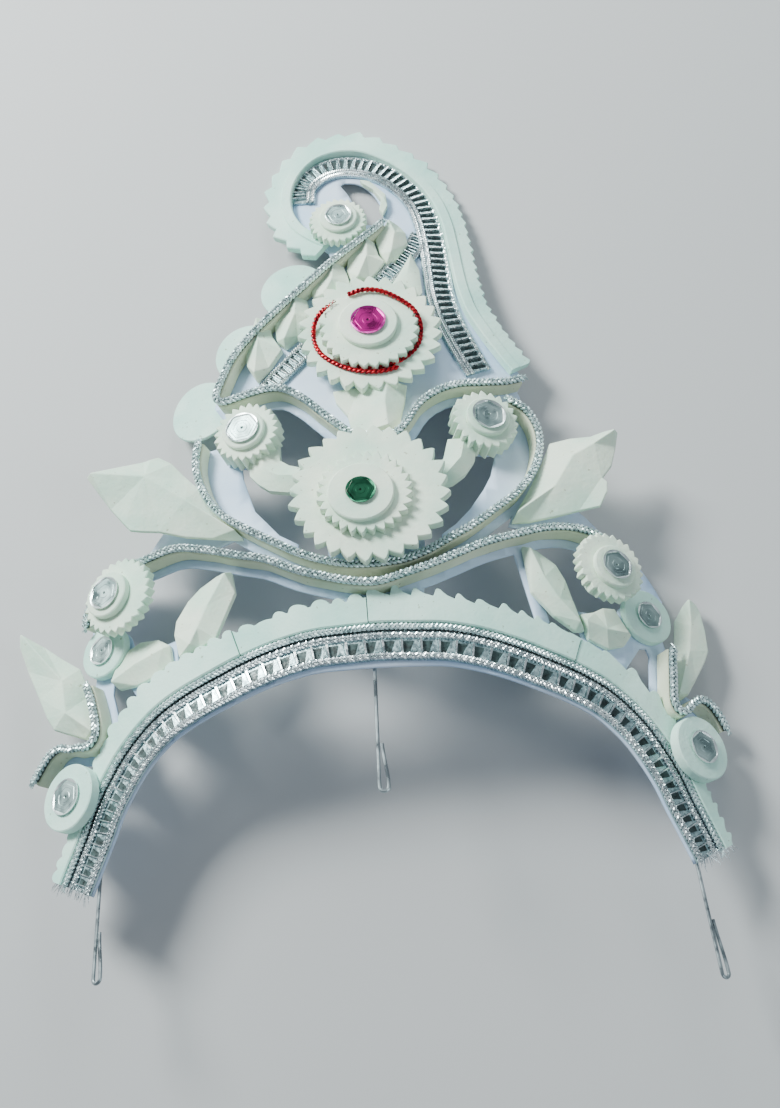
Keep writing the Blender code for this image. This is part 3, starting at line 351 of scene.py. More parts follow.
# Leaves that stand off the card; their outlines are in millimetres along and to the left of each leaf
STANDING_LEAVES = [
    Standing("leaf_outer_left", -0.414, 0.232, 18, 153.7, 1.2, 5.2, [
        (0, 0), (4.8, -1.9), (14.2, -6.3), (21.5, -10.9), (26.1, -12.6), (30.2, -14.2), (34, -15.9),
        (39, -16.3), (40.7, -14.7), (42.5, -12.6), (56, 0), (43, 7.5), (37.2, 10.2), (33.9, 11.6),
        (30.3, 10.4), (25.4, 8.3), (16.7, 6.5), (9.1, 3.6)],
        [(3, 0), (22, -3.5), (38, -6), (43, -4), (54, 0)]),
    Standing("leaf_outer_right", 0.428, 0.237, 18, 39.7, 1.2, 5, [
        (0, 0), (5.9, 2.4), (14.4, 5.5), (22.6, 9.1), (29.7, 12.5), (35.6, 9.3), (40.9, 5.1), (45.3, 3.4),
        (48.2, 0), (43.5, -3.5), (37.5, -7.4), (32.2, -8.5), (32.2, -10.6), (29.7, -12.9), (24.1, -15.2),
        (18, -11.6), (12.2, -8.5), (4, -3.5)], [(3, 0), (18, -1.5), (30, 2.5), (38, 1), (46.5, 0)]),
    Standing("leaf_point_left", -0.925, -0.045, 35, 126.2, 1.2, 4.6, [
        (0, 0), (13.7, -6.3), (23.4, -8.4), (29.9, -5.9), (37.1, -3.7), (45.5, 0), (41.5, 2.4),
        (32.8, 4.8), (22.7, 7), (15.4, 8.6), (11, 8.9), (7.3, 6.5), (2.3, 2.9)],
        [(2, 0.5), (12, 3.5), (22, -1.5), (43.5, 0)]),
    Standing("leaf_point_right", 0.938, -0.037, 35, 75.6, 1.2, 4.2, [
        (0, 0), (5.9, 1.2), (16.8, 2.4), (27.9, 3.5), (33.7, 1.6), (36.5, 0), (34.8, -2.7), (32.2, -4.2),
        (26.1, -6.3), (19.3, -7.9), (15.7, -7.3), (9.1, -5.2), (3.6, -3.3)],
        [(2, -0.5), (17, -2), (26, -1.5), (35, 0)]),
]

# A thin cream strip inside the curl, and the tip of a petal that stands behind the pink rosette
EYE_RIM = Carved("crest_trim", 2, 2.4, [
    (0.5, 191), (4, 190), (9.3, 183.5), (9.7, 178), (8, 174), (6.8, 176.5), (7.6, 181), (5, 186),
    (1.5, 189)], [(2.5, 190), (8.6, 181)])
PETAL_TIP = Carved("rosette_pink", 3, 4.8, [
    (7, 136), (12, 145), (16.6, 154.5), (19, 147), (19.5, 137), (14, 130)],
    [(16.2, 152), (14.5, 143), (13, 134)])

PINS = [
    Pin("pin_centre", -0.022, -0.008, -90.2, 0.0365, 0.014),
    Pin("pin_left", -0.905, -0.275, -91.0, 0.026, 0.014),
    Pin("pin_right", 0.938, -0.275, -84.5, 0.033, 0.016),
]
# The red cord on the pink rosette: its long strand, and the short one laid beside it along the bottom
RED_ROUTES = [
    spots((-48, 661), (0, 669), (57, 664), (112, 646), (153, 624), (174, 596), (168, 564),
        (134, 538), (87, 521), (30, 514), (-28, 517), (-76, 528)),
    spots((96, 512), (49, 505), (-3, 505), (-56, 513), (-104, 528), (-145, 550),
        (-164, 579), (-158, 607), (-130, 631), (-89, 650)),
]

LAID_TURN = LAID_NORMAL.rotation_difference(Vector((0, 0, 1)))
SETTLE = Matrix.Translation(LAID_ORIGIN) @ LAID_TURN.to_matrix().to_4x4()
SETTLE_TURN = np.array(SETTLE.to_3x3())
SETTLE_SHIFT = np.array(SETTLE.translation)


# Shapes on the bent card

def place(across, up, height):
    """Points of the unrolled card with a height above its back, bent and laid on the floor."""
    turn = np.asarray(across) / BEND_RADIUS
    reach = BEND_RADIUS + np.asarray(height)
    outward = reach * np.cos(turn) - BEND_RADIUS
    bent = np.stack(np.broadcast_arrays(reach * np.sin(turn), up, outward), axis=-1)
    return bent @ SETTLE_TURN.T + SETTLE_SHIFT


def seat_frame(across, up, height, forward=0.0, heading=0.0):
    """Axes of a rigid piece on the laid card: X along its heading and Z off the card."""
    angle = across / BEND_RADIUS
    reach = BEND_RADIUS + height
    point = Vector((reach * math.sin(angle), up, reach * math.cos(angle) - BEND_RADIUS))
    turn = Matrix.Rotation(angle, 4, "Y")
    lift = Matrix.Rotation(-math.copysign(math.radians(forward), across), 4, "Y")
    aim = Matrix.Rotation(math.radians(heading), 4, "Z")
    return SETTLE @ Matrix.Translation(point) @ turn @ lift @ aim


def read_off(along, marks, rows):
    """What the rows of a route come to at lengths along it."""
    return np.stack([np.interp(along, marks, rows[:, axis]) for axis in (0, 1)], axis=1)


def smooth_route(rows, step):
    """Evenly spaced points on a smooth curve through the rows, and the left of the route at each."""
    knots = np.array([(row.across * HALF_SPAN, row.up * CROWN_HEIGHT) for row in rows])
    padded = np.vstack([2 * knots[0] - knots[1], knots, 2 * knots[-1] - knots[-2]])
    share = np.linspace(0, 1, ROUTE_SHARES, endpoint=False)[:, None]
    fine = []
    for before, start, end, after in zip(padded, padded[1:], padded[2:], padded[3:]):
        bow = 2 * before - 5 * start + 4 * end - after
        twist = -before + 3 * start - 3 * end + after
        fine.append((2 * start + (end - before) * share + bow * share ** 2 + twist * share ** 3) / 2)
    fine = np.vstack(fine + [knots[-1:]])
    lengths = np.concatenate([[0.0], np.cumsum(np.linalg.norm(np.diff(fine, axis=0), axis=1))])
    marks = np.linspace(0, lengths[-1], max(3, round(lengths[-1] / step) + 1))
    points = read_off(marks, lengths, fine)
    along = np.gradient(points, axis=0)
    along /= np.linalg.norm(along, axis=1)[:, None]
    lefts = np.stack([-along[:, 1], along[:, 0]], axis=1)
    return points, lefts, marks


def rough(*spot):
    """An uneven value from -1 to 1 that changes smoothly from place to place."""
    return noise.noise(Vector(spot))


def wander(points, size, scale, seed):
    """A smooth uneven offset at each point, from -size to size."""
    places = np.asarray(points) * (1.0 / scale)
    return np.array([size * rough(*place_, seed) for place_ in places])


def ring_faces(rings, sides, closed=False):
    """Quads between rings of points, with the first and last ring capped."""
    faces = []
    for ring in range(rings - 1):
        for side in range(sides):
            other = (side + 1) % sides
            faces.append((ring * sides + side, ring * sides + other,
                          (ring + 1) * sides + other, (ring + 1) * sides + side))
    if not closed:
        faces.append(tuple(range(sides - 1, -1, -1)))
        faces.append(tuple(range((rings - 1) * sides, rings * sides)))
    return faces


def loft_on_card(points, lefts, columns):
    """A closed body along a route, from the offset and the height of each of its long edges."""
    offsets = np.stack([np.broadcast_to(offset, len(points)) for offset, _ in columns], axis=1)
    heights = np.stack([np.broadcast_to(height, len(points)) for _, height in columns], axis=1)
    across = points[:, 0:1] + lefts[:, 0:1] * offsets
    up = points[:, 1:2] + lefts[:, 1:2] * offsets
    verts = place(across, up, heights).reshape(-1, 3)
    return verts, ring_faces(len(points), offsets.shape[1])


def tube(path, outward, radius, sides):
    """A round strand along world points; outward keeps its rings from twisting."""
    along = np.gradient(path, axis=0)
    along /= np.linalg.norm(along, axis=1)[:, None]
    side = np.cross(outward, along)
    side /= np.linalg.norm(side, axis=1)[:, None]
    lift = np.cross(along, side)
    angles = np.arange(sides) * math.tau / sides
    radius = np.broadcast_to(radius, (len(path),))[:, None, None]
    ring = side[:, None, :] * np.cos(angles)[None, :, None] + lift[:, None, :] * np.sin(angles)[None, :, None]
    verts = (path[:, None, :] + radius * ring).reshape(-1, 3)
    return verts, ring_faces(len(path), sides)


def thread(line, height, radius, sides=STRAND_SIDES):
    """A round strand along a line of the card, at a height above its back."""
    path = place(line[:, 0], line[:, 1], height)
    outward = place(line[:, 0], line[:, 1], height + GAP) - path
    return tube(path, outward, radius, sides)


def plait_strands(points, lefts, marks, shape, base):
    """The strands of a flat three-strand plait that follows a route on the card, round a dark core that
    paints the shade in the gaps between the strands.
    """
    strands = []
    for strand in range(STRANDS):
        swing = math.tau * (marks / shape.pitch + strand / STRANDS)
        line = points + lefts * (shape.swing * np.sin(swing))[:, None]
        strands.append(thread(line, base + shape.lift * np.sin(2 * swing), shape.strand))
    # The core is a dark tube under the strands: painted shade in the gaps between them
    core = thread(points[::CORE_EVERY], base - shape.lift, shape.swing * CORE_SHARE)
    return strands + [(*core, PAINTED_SHADE_SLOT)]


# Objects and their materials

def add_object(name, data):
    """A new object in the scene."""
    obj = bpy.data.objects.new(name, data)
    bpy.context.scene.collection.objects.link(obj)
    return obj


def join_parts(parts):
    """One list of points, faces and material slots from several parts; a part's third item is its slot."""
    verts = []
    faces = []
    slots = []
    for part in parts:
        base = len(verts)
        verts += [tuple(vert) for vert in part[0]]
        faces += [tuple(base + index for index in face) for face in part[1]]
        slots += [part[2] if len(part) > 2 else 0] * len(part[1])
    return verts, faces, slots


def dress(node, parts, materials, name=None, smooth=True, bevel=0.0):
    """Make the piece that stands for a node, and seat it on the crown."""
    name = name or node + "_look"
    verts, faces, slots = join_parts(parts)
    mesh = bpy.data.meshes.new(name)
    mesh.from_pydata(verts, [], faces)
    mesh.polygons.foreach_set("material_index", slots)
    shape = bmesh.new()
    shape.from_mesh(mesh)
    bmesh.ops.recalc_face_normals(shape, faces=shape.faces)
    shape.to_mesh(mesh)
    shape.free()
    obj = add_object(name, mesh)
    for material in materials if isinstance(materials, list) else [materials]:
        mesh.materials.append(material)
    if smooth:
        mesh.shade_smooth()
        mesh.set_sharp_from_angle(angle=SHARP_ANGLE)
    if bevel:
        soften = obj.modifiers.new("soft_edges", "BEVEL")
        soften.width = bevel
        soften.segments = 2
        soften.limit_method = "ANGLE"
        soften.angle_limit = BEVEL_ANGLE
    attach(obj, "root")
    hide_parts(node)


def new_material(name, colour, roughness, metallic=0.0):
    """A material with its shader and a link maker."""
    material = bpy.data.materials.new(name)
    material.use_nodes = True
    tree = material.node_tree
    shader = tree.nodes["Principled BSDF"]
    shader.inputs["Base Color"].default_value = (*colour, 1.0)
    shader.inputs["Roughness"].default_value = roughness
    shader.inputs["Metallic"].default_value = metallic
    return material, tree, shader


def add_noise(tree, scale, detail=4.0, stretch=(1.0, 1.0, 1.0)):
    """A noise texture in object space; stretch below one lengthens its grain along that axis."""
    place_node = tree.nodes.new("ShaderNodeTexCoord")
    mapping = tree.nodes.new("ShaderNodeMapping")
    mapping.inputs["Scale"].default_value = stretch
    texture = tree.nodes.new("ShaderNodeTexNoise")
    texture.inputs["Scale"].default_value = scale
    texture.inputs["Detail"].default_value = detail
    tree.links.new(place_node.outputs["Object"], mapping.inputs["Vector"])
    tree.links.new(mapping.outputs["Vector"], texture.inputs["Vector"])
    return texture.outputs["Fac"]


def add_ramp(tree, source, stops):
    """A colour ramp over a value."""
    ramp = tree.nodes.new("ShaderNodeValToRGB")
    elements = ramp.color_ramp.elements
    while len(elements) < len(stops):
        elements.new(0.5)
    for element, (position, colour) in zip(elements, stops):
        element.position = position
        element.color = (*colour, 1.0)
    tree.links.new(source, ramp.inputs["Fac"])
    return ramp.outputs["Color"]


def add_bump(tree, shader, source, strength, distance):
    """Bump from a value, stacked on any bump that the shader already has."""
    bump = tree.nodes.new("ShaderNodeBump")
    bump.inputs["Strength"].default_value = strength
    bump.inputs["Distance"].default_value = distance
    tree.links.new(source, bump.inputs["Height"])
    socket = shader.inputs["Normal"]
    if socket.is_linked:
        tree.links.new(socket.links[0].from_socket, bump.inputs["Normal"])
    tree.links.new(bump.outputs["Normal"], socket)


def mix_colours(tree, first, second, factor):
    """Mix two colour outputs by a value."""
    mix = tree.nodes.new("ShaderNodeMix")
    mix.data_type = "RGBA"
    mix.blend_type = "MULTIPLY"
    mix.inputs["Factor"].default_value = factor
    tree.links.new(first, mix.inputs["A"])
    tree.links.new(second, mix.inputs["B"])
    return mix.outputs["Result"]


def pith_material(name, pale, deep):
    """Matte carved pith: soft blotches, fine grain and a few brown specks."""
    material, tree, shader = new_material(name, pale, 0.72)
    shader.inputs["Subsurface Weight"].default_value = 0.12
    shader.inputs["Subsurface Radius"].default_value = (0.0020, 0.0018, 0.0014)
    shader.inputs["Subsurface Scale"].default_value = 1.0
    shader.inputs["Specular IOR Level"].default_value = 0.35
    blotch = add_ramp(tree, add_noise(tree, 55.0), [(0.30, deep), (0.62, pale)])
    speck = add_ramp(tree, add_noise(tree, 620.0, 2.0),
                     [(0.245, (0.36, 0.27, 0.17)), (0.30, (1.0, 1.0, 1.0))])
    tree.links.new(mix_colours(tree, blotch, speck, 0.55), shader.inputs["Base Color"])
    add_bump(tree, shader, add_noise(tree, 900.0, 6.0), 0.30, 0.0004)
    add_bump(tree, shader, add_noise(tree, 160.0, 3.0, (1.0, 1.0, 0.25)), 0.35, 0.0008)
    return material


def card_material():
    """Paper-faced card with a cool cast and faint mottling."""
    material, tree, shader = new_material("card_paper", (0.56, 0.70, 0.90), 0.6)
    tone = add_ramp(tree, add_noise(tree, 38.0), [(0.30, (0.44, 0.62, 0.86)), (0.65, (0.64, 0.76, 0.93))])
    tree.links.new(tone, shader.inputs["Base Color"])
    add_bump(tree, shader, add_noise(tree, 1400.0, 4.0), 0.12, 0.0002)
    add_bump(tree, shader, add_noise(tree, 90.0, 2.0), 0.25, 0.0010)
    return material


def foil_material(name, bright, dark, roughness, grain, metallic=1.0, relief=0.35):
    """Metallic thread or foil with uneven tone along it."""
    material, tree, shader = new_material(name, bright, roughness, metallic)
    tone = add_ramp(tree, add_noise(tree, grain, 3.0), [(0.35, dark), (0.60, bright)])
    tree.links.new(tone, shader.inputs["Base Color"])
    sheen = add_ramp(tree, add_noise(tree, grain * 2, 2.0),
                     [(0.35, (roughness * 0.6,) * 3), (0.65, (roughness * 1.5,) * 3)])
    tree.links.new(sheen, shader.inputs["Roughness"])
    add_bump(tree, shader, add_noise(tree, grain * 3, 3.0), relief, 0.0002)
    return material


PITH = pith_material("pith", (0.62, 0.88, 0.78), (0.42, 0.74, 0.65))
PITH_CREAM = pith_material("pith_cream", (0.78, 0.89, 0.74), (0.52, 0.76, 0.62))
# Fin pith: a duller olive copy of the pith, painted shade on the fins' upright sides
PITH_FIN_SHADE = pith_material("pith_fin_painted_shade", (0.74, 0.78, 0.60), (0.54, 0.60, 0.44))
CARD = card_material()
SILVER_CORD = foil_material("silver_cord", (0.74, 0.88, 0.88), (0.46, 0.62, 0.62), 0.34, 300.0, 0.85, 0.15)
SILVER_RIBBON = foil_material("silver_ribbon", (0.90, 0.96, 0.97), (0.62, 0.72, 0.74), 0.24, 400.0,
                              0.95, 0.20)
# A dimmer copy of the silver ribbon: painted half-shade on the trim's sheet under its braids and on the
# folds' falling faces
HALF_SHADE_RIBBON = foil_material("painted_half_shade_ribbon", (0.50, 0.66, 0.68), (0.30, 0.42, 0.44), 0.34, 400.0, 0.90)
# Near-black foil: painted shade in the gaps of the plaits and in the valleys of the trim folds
PAINTED_SHADE_FOIL = foil_material("painted_shade_foil", (0.04, 0.07, 0.07), (0.02, 0.03, 0.03), 0.45, 500.0, 0.30)
RED_THREAD = foil_material("red_thread", (0.50, 0.01, 0.02), (0.18, 0.00, 0.01), 0.34, 600.0, 0.70)
# Silver sequin plate foil, painted dark as a reflection
SEQUIN_SILVER_DARK_REFLECTION = foil_material("sequin_silver", (0.42, 0.54, 0.53), (0.24, 0.34, 0.34), 0.36, 110.0,
                              0.95, 0.05)
SEQUIN_GREEN = foil_material("sequin_green_foil", (0.003, 0.050, 0.024), (0.001, 0.025, 0.012), 0.36, 110.0,
                             0.8, 0.05)
SEQUIN_PINK = foil_material("sequin_pink_foil", (0.30, 0.0, 0.14), (0.16, 0.0, 0.075), 0.36, 110.0, 0.8, 0.05)
# Rim foils, brighter copies of their plates' foils: a painted highlight on the turned-up rims
SILVER_RIM_HIGHLIGHT = foil_material("sequin_rim_painted_highlight", (0.86, 0.94, 0.94), (0.66, 0.76, 0.76), 0.30, 110.0, 0.90, 0.05)
GREEN_RIM_HIGHLIGHT = foil_material("sequin_green_rim_painted_highlight", (0.04, 0.22, 0.12), (0.02, 0.13, 0.07), 0.30, 110.0, 0.80, 0.05)
PINK_RIM_HIGHLIGHT = foil_material("sequin_pink_rim_painted_highlight", (0.66, 0.06, 0.40), (0.46, 0.02, 0.26), 0.30, 110.0, 0.80, 0.05)
WIRE = foil_material("pin_wire", (0.42, 0.48, 0.50), (0.32, 0.37, 0.39), 0.35, 120.0, 1.0, 0.10)


# The card

def anticlockwise(outline):
    """The outline, reversed if it runs clockwise."""
    area = 0.0
    for start, end in zip(outline, outline[1:] + outline[:1]):
        area += start[0] * end[1] - end[0] * start[1]
    return outline if area > 0 else outline[::-1]


def ribbon_faces(rows, right, left, swell=0.0):
    """The quads of a ribbon of card along a route; swell widens its right side in the middle."""
    points, lefts, marks = smooth_route(rows, CARD_ROUTE_STEP)
    nearness = 1 - np.abs(2 * marks / marks[-1] - 1)
    inner = points + lefts * (right - swell * nearness ** 2)[:, None]
    outer = points + lefts * left
    return [[inner[i], inner[i + 1], outer[i + 1], outer[i]] for i in range(len(points) - 1)]


def flat(spot):
    """A spot's place on the unrolled card."""
    return np.array((spot.across * HALF_SPAN, spot.up * CROWN_HEIGHT))


def smooth_outline(rows):
    """A closed smooth outline through the rows."""
    points, _, _ = smooth_route(rows[-2:] + rows + rows[:2], CARD_ROUTE_STEP / 2)
    third = len(points) // 3
    start = np.argmin(np.linalg.norm(points[:third] - flat(rows[0]), axis=1))
    end = len(points) - 1 - np.argmin(np.linalg.norm(points[::-1][:third] - flat(rows[0]), axis=1))
    return list(points[start:end])


def backing_card():
    """The bent card sheet: its solid's outline, with a slimmer band and finer curves."""
    outlines = ribbon_faces(BAND, -BAND_CARD_BELOW, BAND_CARD_ABOVE, BAND_CARD_MIDDLE)
    for rows in (SCROLL, CURL_LEFT, CURL_RIGHT, BOWL, SPIRE):
        outlines += ribbon_faces(rows, -FIN_CARD_MARGIN, FIN_CARD_MARGIN)
    outlines += [[flat(spot) for spot in rows] for rows in CARD_PANELS]
    angles = np.arange(CARD_ROUND_SIDES) * math.tau / CARD_ROUND_SIDES
    for disc in CARD_ROUNDS:
        centre = flat(disc)
        outlines.append([centre + disc.radius * np.array((math.cos(a), math.sin(a))) for a in angles])
    outlines.append(smooth_outline(EYE))
    outlines = [anticlockwise(outline) for outline in outlines]
    corners = []
    loops = []
    for outline in outlines:
        loops.append(list(range(len(corners), len(corners) + len(outline))))
        corners += [Vector(point) for point in outline]
    points, _, triangles, _, _, owners = delaunay_2d_cdt(corners, [], loops, 1, 1e-6, True)
    shape = bmesh.new()
    verts = [shape.verts.new((*point, 0.0)) for point in points]
    for triangle, owner in zip(triangles, owners):
        if owner and len(outlines) - 1 not in owner:
            shape.faces.new([verts[index] for index in triangle])
    bmesh.ops.delete(shape, geom=[vert for vert in shape.verts if not vert.link_faces], context="VERTS")
    bmesh.ops.remove_doubles(shape, verts=shape.verts, dist=GAP / 2)
    bmesh.ops.dissolve_limit(shape, angle_limit=math.radians(1), verts=shape.verts, edges=shape.edges)
    for axis, reach in ((0, 1.3 * HALF_SPAN), (1, 1.1 * CROWN_HEIGHT)):
        for index in range(int(-reach / CARD_BEND_STEP), int(reach / CARD_BEND_STEP) + 1):
            line = Vector((0.0, 0.0, 0.0))
            line[axis] = index * CARD_BEND_STEP
            normal = (1.0, 0.0, 0.0) if axis == 0 else (0.0, 1.0, 0.0)
            geometry = list(shape.verts) + list(shape.edges) + list(shape.faces)
            bmesh.ops.bisect_plane(shape, geom=geometry, dist=1e-6, plane_co=line, plane_no=normal)
    bmesh.ops.triangulate(shape, faces=shape.faces)
    flat_points = np.array([vert.co[:] for vert in shape.verts])
    for vert, spot in zip(shape.verts, place(flat_points[:, 0], flat_points[:, 1], 0.0)):
        vert.co = spot
    mesh = bpy.data.meshes.new("card_sheet")
    shape.to_mesh(mesh)
    shape.free()
    mesh.materials.append(CARD)
    mesh.shade_smooth()
    mesh.set_sharp_from_angle(angle=SHARP_ANGLE)
    obj = add_object("card_sheet", mesh)
    wall = obj.modifiers.new("wall", "SOLIDIFY")
    wall.thickness = CARD_THICK
    wall.offset = 1.0
    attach(obj, "root")
    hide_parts("backing_card")


# Fins, cords, strips and trims

def fin(node, rows):
    """A strip of pith on edge, with rounded top corners and an uneven top, in a duller olive pith that paints
    the shade on its upright sides.
    """
    points, lefts, _ = smooth_route(rows, FIN_STEP)
    uneven = wander(points, 0.00022, 0.006, 3.0)
    half = FIN_THICK / 2
    top = FIN_TOP + uneven * 0.5
    right, left = uneven + half, uneven - half
    columns = [(left, LAYER), (right, LAYER), (right, top - FIN_ROUNDING), (right - FIN_ROUNDING, top),
               (left + FIN_ROUNDING, top), (left, top - FIN_ROUNDING)]
    dress(node, [loft_on_card(points, lefts, columns)], PITH_FIN_SHADE)


def plaited_cord(node, rows, shape, height):
    """A plaited silver cord with frayed ends, along a route at a height above the card's back."""
    points, lefts, marks = smooth_route(rows, FINE_STEP)
    parts = plait_strands(points, lefts, marks, shape, height)
    parts += frayed_ends(points, lefts, height, shape.strand)
    dress(node, parts, [SILVER_CORD, PAINTED_SHADE_FOIL])


def unit(vector):
    """The vector at a length of one."""
    return vector / np.linalg.norm(vector)


def frayed_ends(points, lefts, height, strand):
    """Loose thread ends that splay from both ends of a cord."""
    parts = []
    share = np.linspace(0, 1, 6)
    for end, inward in ((0, 1), (-1, -2)):
        away = unit(points[end] - points[inward])
        for index in range(5):
            spread = (index - 2) * 0.28
            heading = away * math.cos(spread) + lefts[end] * math.sin(spread)
            line = points[end] + np.outer(share * 0.0019, heading)
            lift = height + 0.0004 * np.sin(share * 3 + index) - 0.0003 * share
            parts.append(thread(line, lift, strand * (0.75 - 0.45 * share), END_SIDES))
    return parts


def saw_tooth(phase):
    """A point that leans forward, over phase 0 to 1."""
    return np.where(phase < 0.70, phase / 0.70, (1 - phase) / 0.30)


def low_scallop(phase):
    """A rounded hump, over phase 0 to 1."""
    return np.clip(np.sin(math.pi * np.clip(phase / 0.86, 0, 1) ** 0.75), 0, 1) ** 0.7


def hooked_tooth(phase):
    """A tooth with a steep back, a rounded top and a long slope down, over phase 0 to 1."""
    shares = [0.0, 0.04, 0.10, 0.18, 0.28, 0.40, 0.60, 1.0]
    return np.interp(phase, shares, [0.0, 0.62, 0.94, 1.0, 0.94, 0.66, 0.30, 0.0])


def edge_strip(points, lefts, inner, outer, top, share=1.0, rise=0.0):
    """A flat strip with chamfered top edges; a share of its top, from the inner side, can stand higher."""
    columns = [(inner, LAYER), (outer, LAYER), (outer, top - CHAMFER), (outer - CHAMFER, top)]
    if rise:
        middle = inner + (np.median(outer) - inner) * share
        columns += [(middle, top), (middle - CHAMFER, top + rise)]
    columns += [(inner + CHAMFER, top + rise), (inner, top + rise - CHAMFER)]
    return loft_on_card(points, lefts, columns)


def slab(points, lefts, inner, outer, top):
    """A flat strip of ribbon that lies on the card."""
    return loft_on_card(points, lefts, [(inner, LAYER), (outer, LAYER), (outer, top), (inner, top)])


def tooth_count(marks, pitch):
    """How many teeth have passed at each mark, where the pitch changes along the way."""
    return np.concatenate([[0.0], np.cumsum(np.diff(marks) / pitch[1:])])


def band_strip():
    """The serrated pith strip, cut in four lengths that butt at its seams."""
    points, lefts, marks = smooth_route(BAND, STRIP_STEP)
    outward = np.abs(2 * marks / marks[-1] - 1)
    width = BAND_STRIP_WIDTH + (BAND_STRIP_END_WIDTH - BAND_STRIP_WIDTH) * outward
    share = points[:, 0] / HALF_SPAN
    places, *cuts = zip(*STRIP_CUTS)
    extra, depth, pitch = [np.interp(share, places, values) for values in cuts]
    tooth = tooth_count(marks, pitch) + wander(points, 0.25, 0.010, 6.0)
    number = np.floor(tooth)
    ragged = np.array([rough(n * 7.3, 1.7, 0.4) for n in number])
    phase = tooth - number
    rise = np.where(share > BAND_SEAMS[1], hooked_tooth(phase), low_scallop(phase))
    outer = BAND_ROOT + width + extra + depth * (1 + 0.5 * ragged) * rise + 0.0005 * ragged * rise
    top = STRIP_TOP + wander(points, 0.00025, 0.012, 8.0)
    ends = [0] + [int(np.argmin(np.abs(share - seam))) for seam in BAND_SEAMS] + [len(points)]
    parts = []
    for index, (start, end) in enumerate(zip(ends, ends[1:])):
        rows = slice(start, end)
        step = SEAM_STEP * (-1) ** index
        parts.append(edge_strip(points[rows], lefts[rows], BAND_ROOT, outer[rows], top[rows] + step))
    dress("band_strip", parts, PITH)


def prism(route, corners, low, high, inset, slot):
    """A low block on the card; its corners are lengths along the route and offsets from it."""
    points, lefts, marks = route
    ring = np.array(corners)
    middle = ring.mean(axis=0)
    reach = np.abs(ring - middle).max(axis=0)
    shrunk = middle + (ring - middle) * (1 - inset / np.maximum(reach, inset * 2))
    verts = []
    for outline, height in ((ring, low), (shrunk, high)):
        along = outline[:, 0]
        line = read_off(along, marks, points) + read_off(along, marks, lefts) * outline[:, 1:]
        verts.append(place(line[:, 0], line[:, 1], height))
    return np.vstack(verts), ring_faces(2, len(corners)), slot


def silver_trim(node, rows, trim):
    """A silver ribbon with a row of open folds between its braided edges: the folds' valleys are painted dark
    as shade, and the sheet and the folds' falling faces a dimmer silver as half-shade.
    """
    route = smooth_route(rows, FINE_STEP)
    points, lefts, marks = route
    sheet_top = LAYER + RIBBON_THICK
    # The sheet takes the dimmer silver: painted shade under the braids and folds
    parts = [(*slab(points, lefts, trim.inner, trim.outer, sheet_top), HALF_SHADE_SLOT)]
    for inner, outer in trim.selvages:
        parts.append(slab(points, lefts, inner, outer, LAYER + SELVAGE_RISE))
    for offset, shape in trim.braids:
        parts += plait_strands(points + lefts * offset, lefts, marks, shape, sheet_top + shape.strand)
    start = 0.001
    index = 0
    while start < marks[-1] - trim.end_pitch:
        near_end = abs(2 * start / marks[-1] - 1) ** 2
        pitch = trim.pitch + (trim.end_pitch - trim.pitch) * near_end
        pitch *= 1 + 0.14 * rough(index * 2.7, 4.0, 1.0)
        lean = pitch * (0.10 + 0.10 * rough(index * 1.9, 8.0, 3.0))
        for fold in FOLDS:
            low, high = trim.window_inner - fold.past, trim.window_outer + fold.past
            corners = [(start + fold.low_start * pitch, low), (start + fold.low_end * pitch, low),
                       (start + fold.high_end * pitch + lean, high),
                       (start + fold.high_start * pitch + lean, high)]
            top = sheet_top + fold.rise
            parts.append(prism(route, corners, sheet_top - BLOCK_SUNK, top, fold.inset, fold.slot))
        start += pitch
        index += 1
    dress(node, parts, [SILVER_RIBBON, PAINTED_SHADE_FOIL, HALF_SHADE_RIBBON])


def band_fringe():
    """Loose silver threads at the band's two cut ends."""
    points, lefts, _ = smooth_route(BAND, FINE_STEP)
    share = np.linspace(0, 1, 8)
    parts = []
    for end, inward in ((0, 4), (-1, -5)):
        away = unit(points[end] - points[inward])
        for index in range(FRINGE_THREADS):
            offset = FRINGE_START + FRINGE_WIDTH * index / (FRINGE_THREADS - 1)
            bend = rough(index * 1.3, 2.0, 7.0 + end)
            length = 0.0038 + 0.0030 * rough(index * 2.1, 5.0, 1.0 + end)
            spread = 0.035 * (index - FRINGE_THREADS // 2) + bend
            heading = away * math.cos(spread) + lefts[end] * math.sin(spread)
            root = points[end] + lefts[end] * offset - away * 0.0012
            line = root + np.outer(share * length, heading) + np.outer(0.0014 * bend * share ** 2, lefts[end])
            height = LAYER + 0.0012 + 0.0008 * share * bend
            parts.append(thread(line, height, FRINGE_RADIUS * (1.2 - 0.8 * share), END_SIDES))
    dress("band_trim", parts, SILVER_RIBBON, "band_fringe")


def crest():
    """The serrated strip that curls over the spire: long saw teeth on the curl, fine ones below it."""
    points, lefts, marks = smooth_route(CREST, STRIP_STEP)
    turning = np.clip((marks / marks[-1] - 0.50) / 0.12, 0, 1)
    pitch = CREST_TOOTH_PITCH + (CREST_FINE_PITCH - CREST_TOOTH_PITCH) * turning
    tooth = tooth_count(marks, pitch)
    number = np.floor(tooth)
    phase = tooth - number
    depth = CREST_TOOTH_DEPTH * (1.0 - 0.45 * turning)
    ragged = np.array([rough(n * 5.1, 9.2, 2.4) for n in number])
    outer = CREST_HALF_WIDTH + depth * (1 + 0.5 * ragged) * saw_tooth(phase)
    top = STRIP_TOP - 0.0003 + wander(points, 0.0002, 0.010, 4.0)
    part = edge_strip(points, lefts, -CREST_HALF_WIDTH, outer, top, CREST_RAISED_SHARE, CREST_RISE)
    dress("spire_crest", [part], PITH)


# Rosettes, sequins, leaves and pins

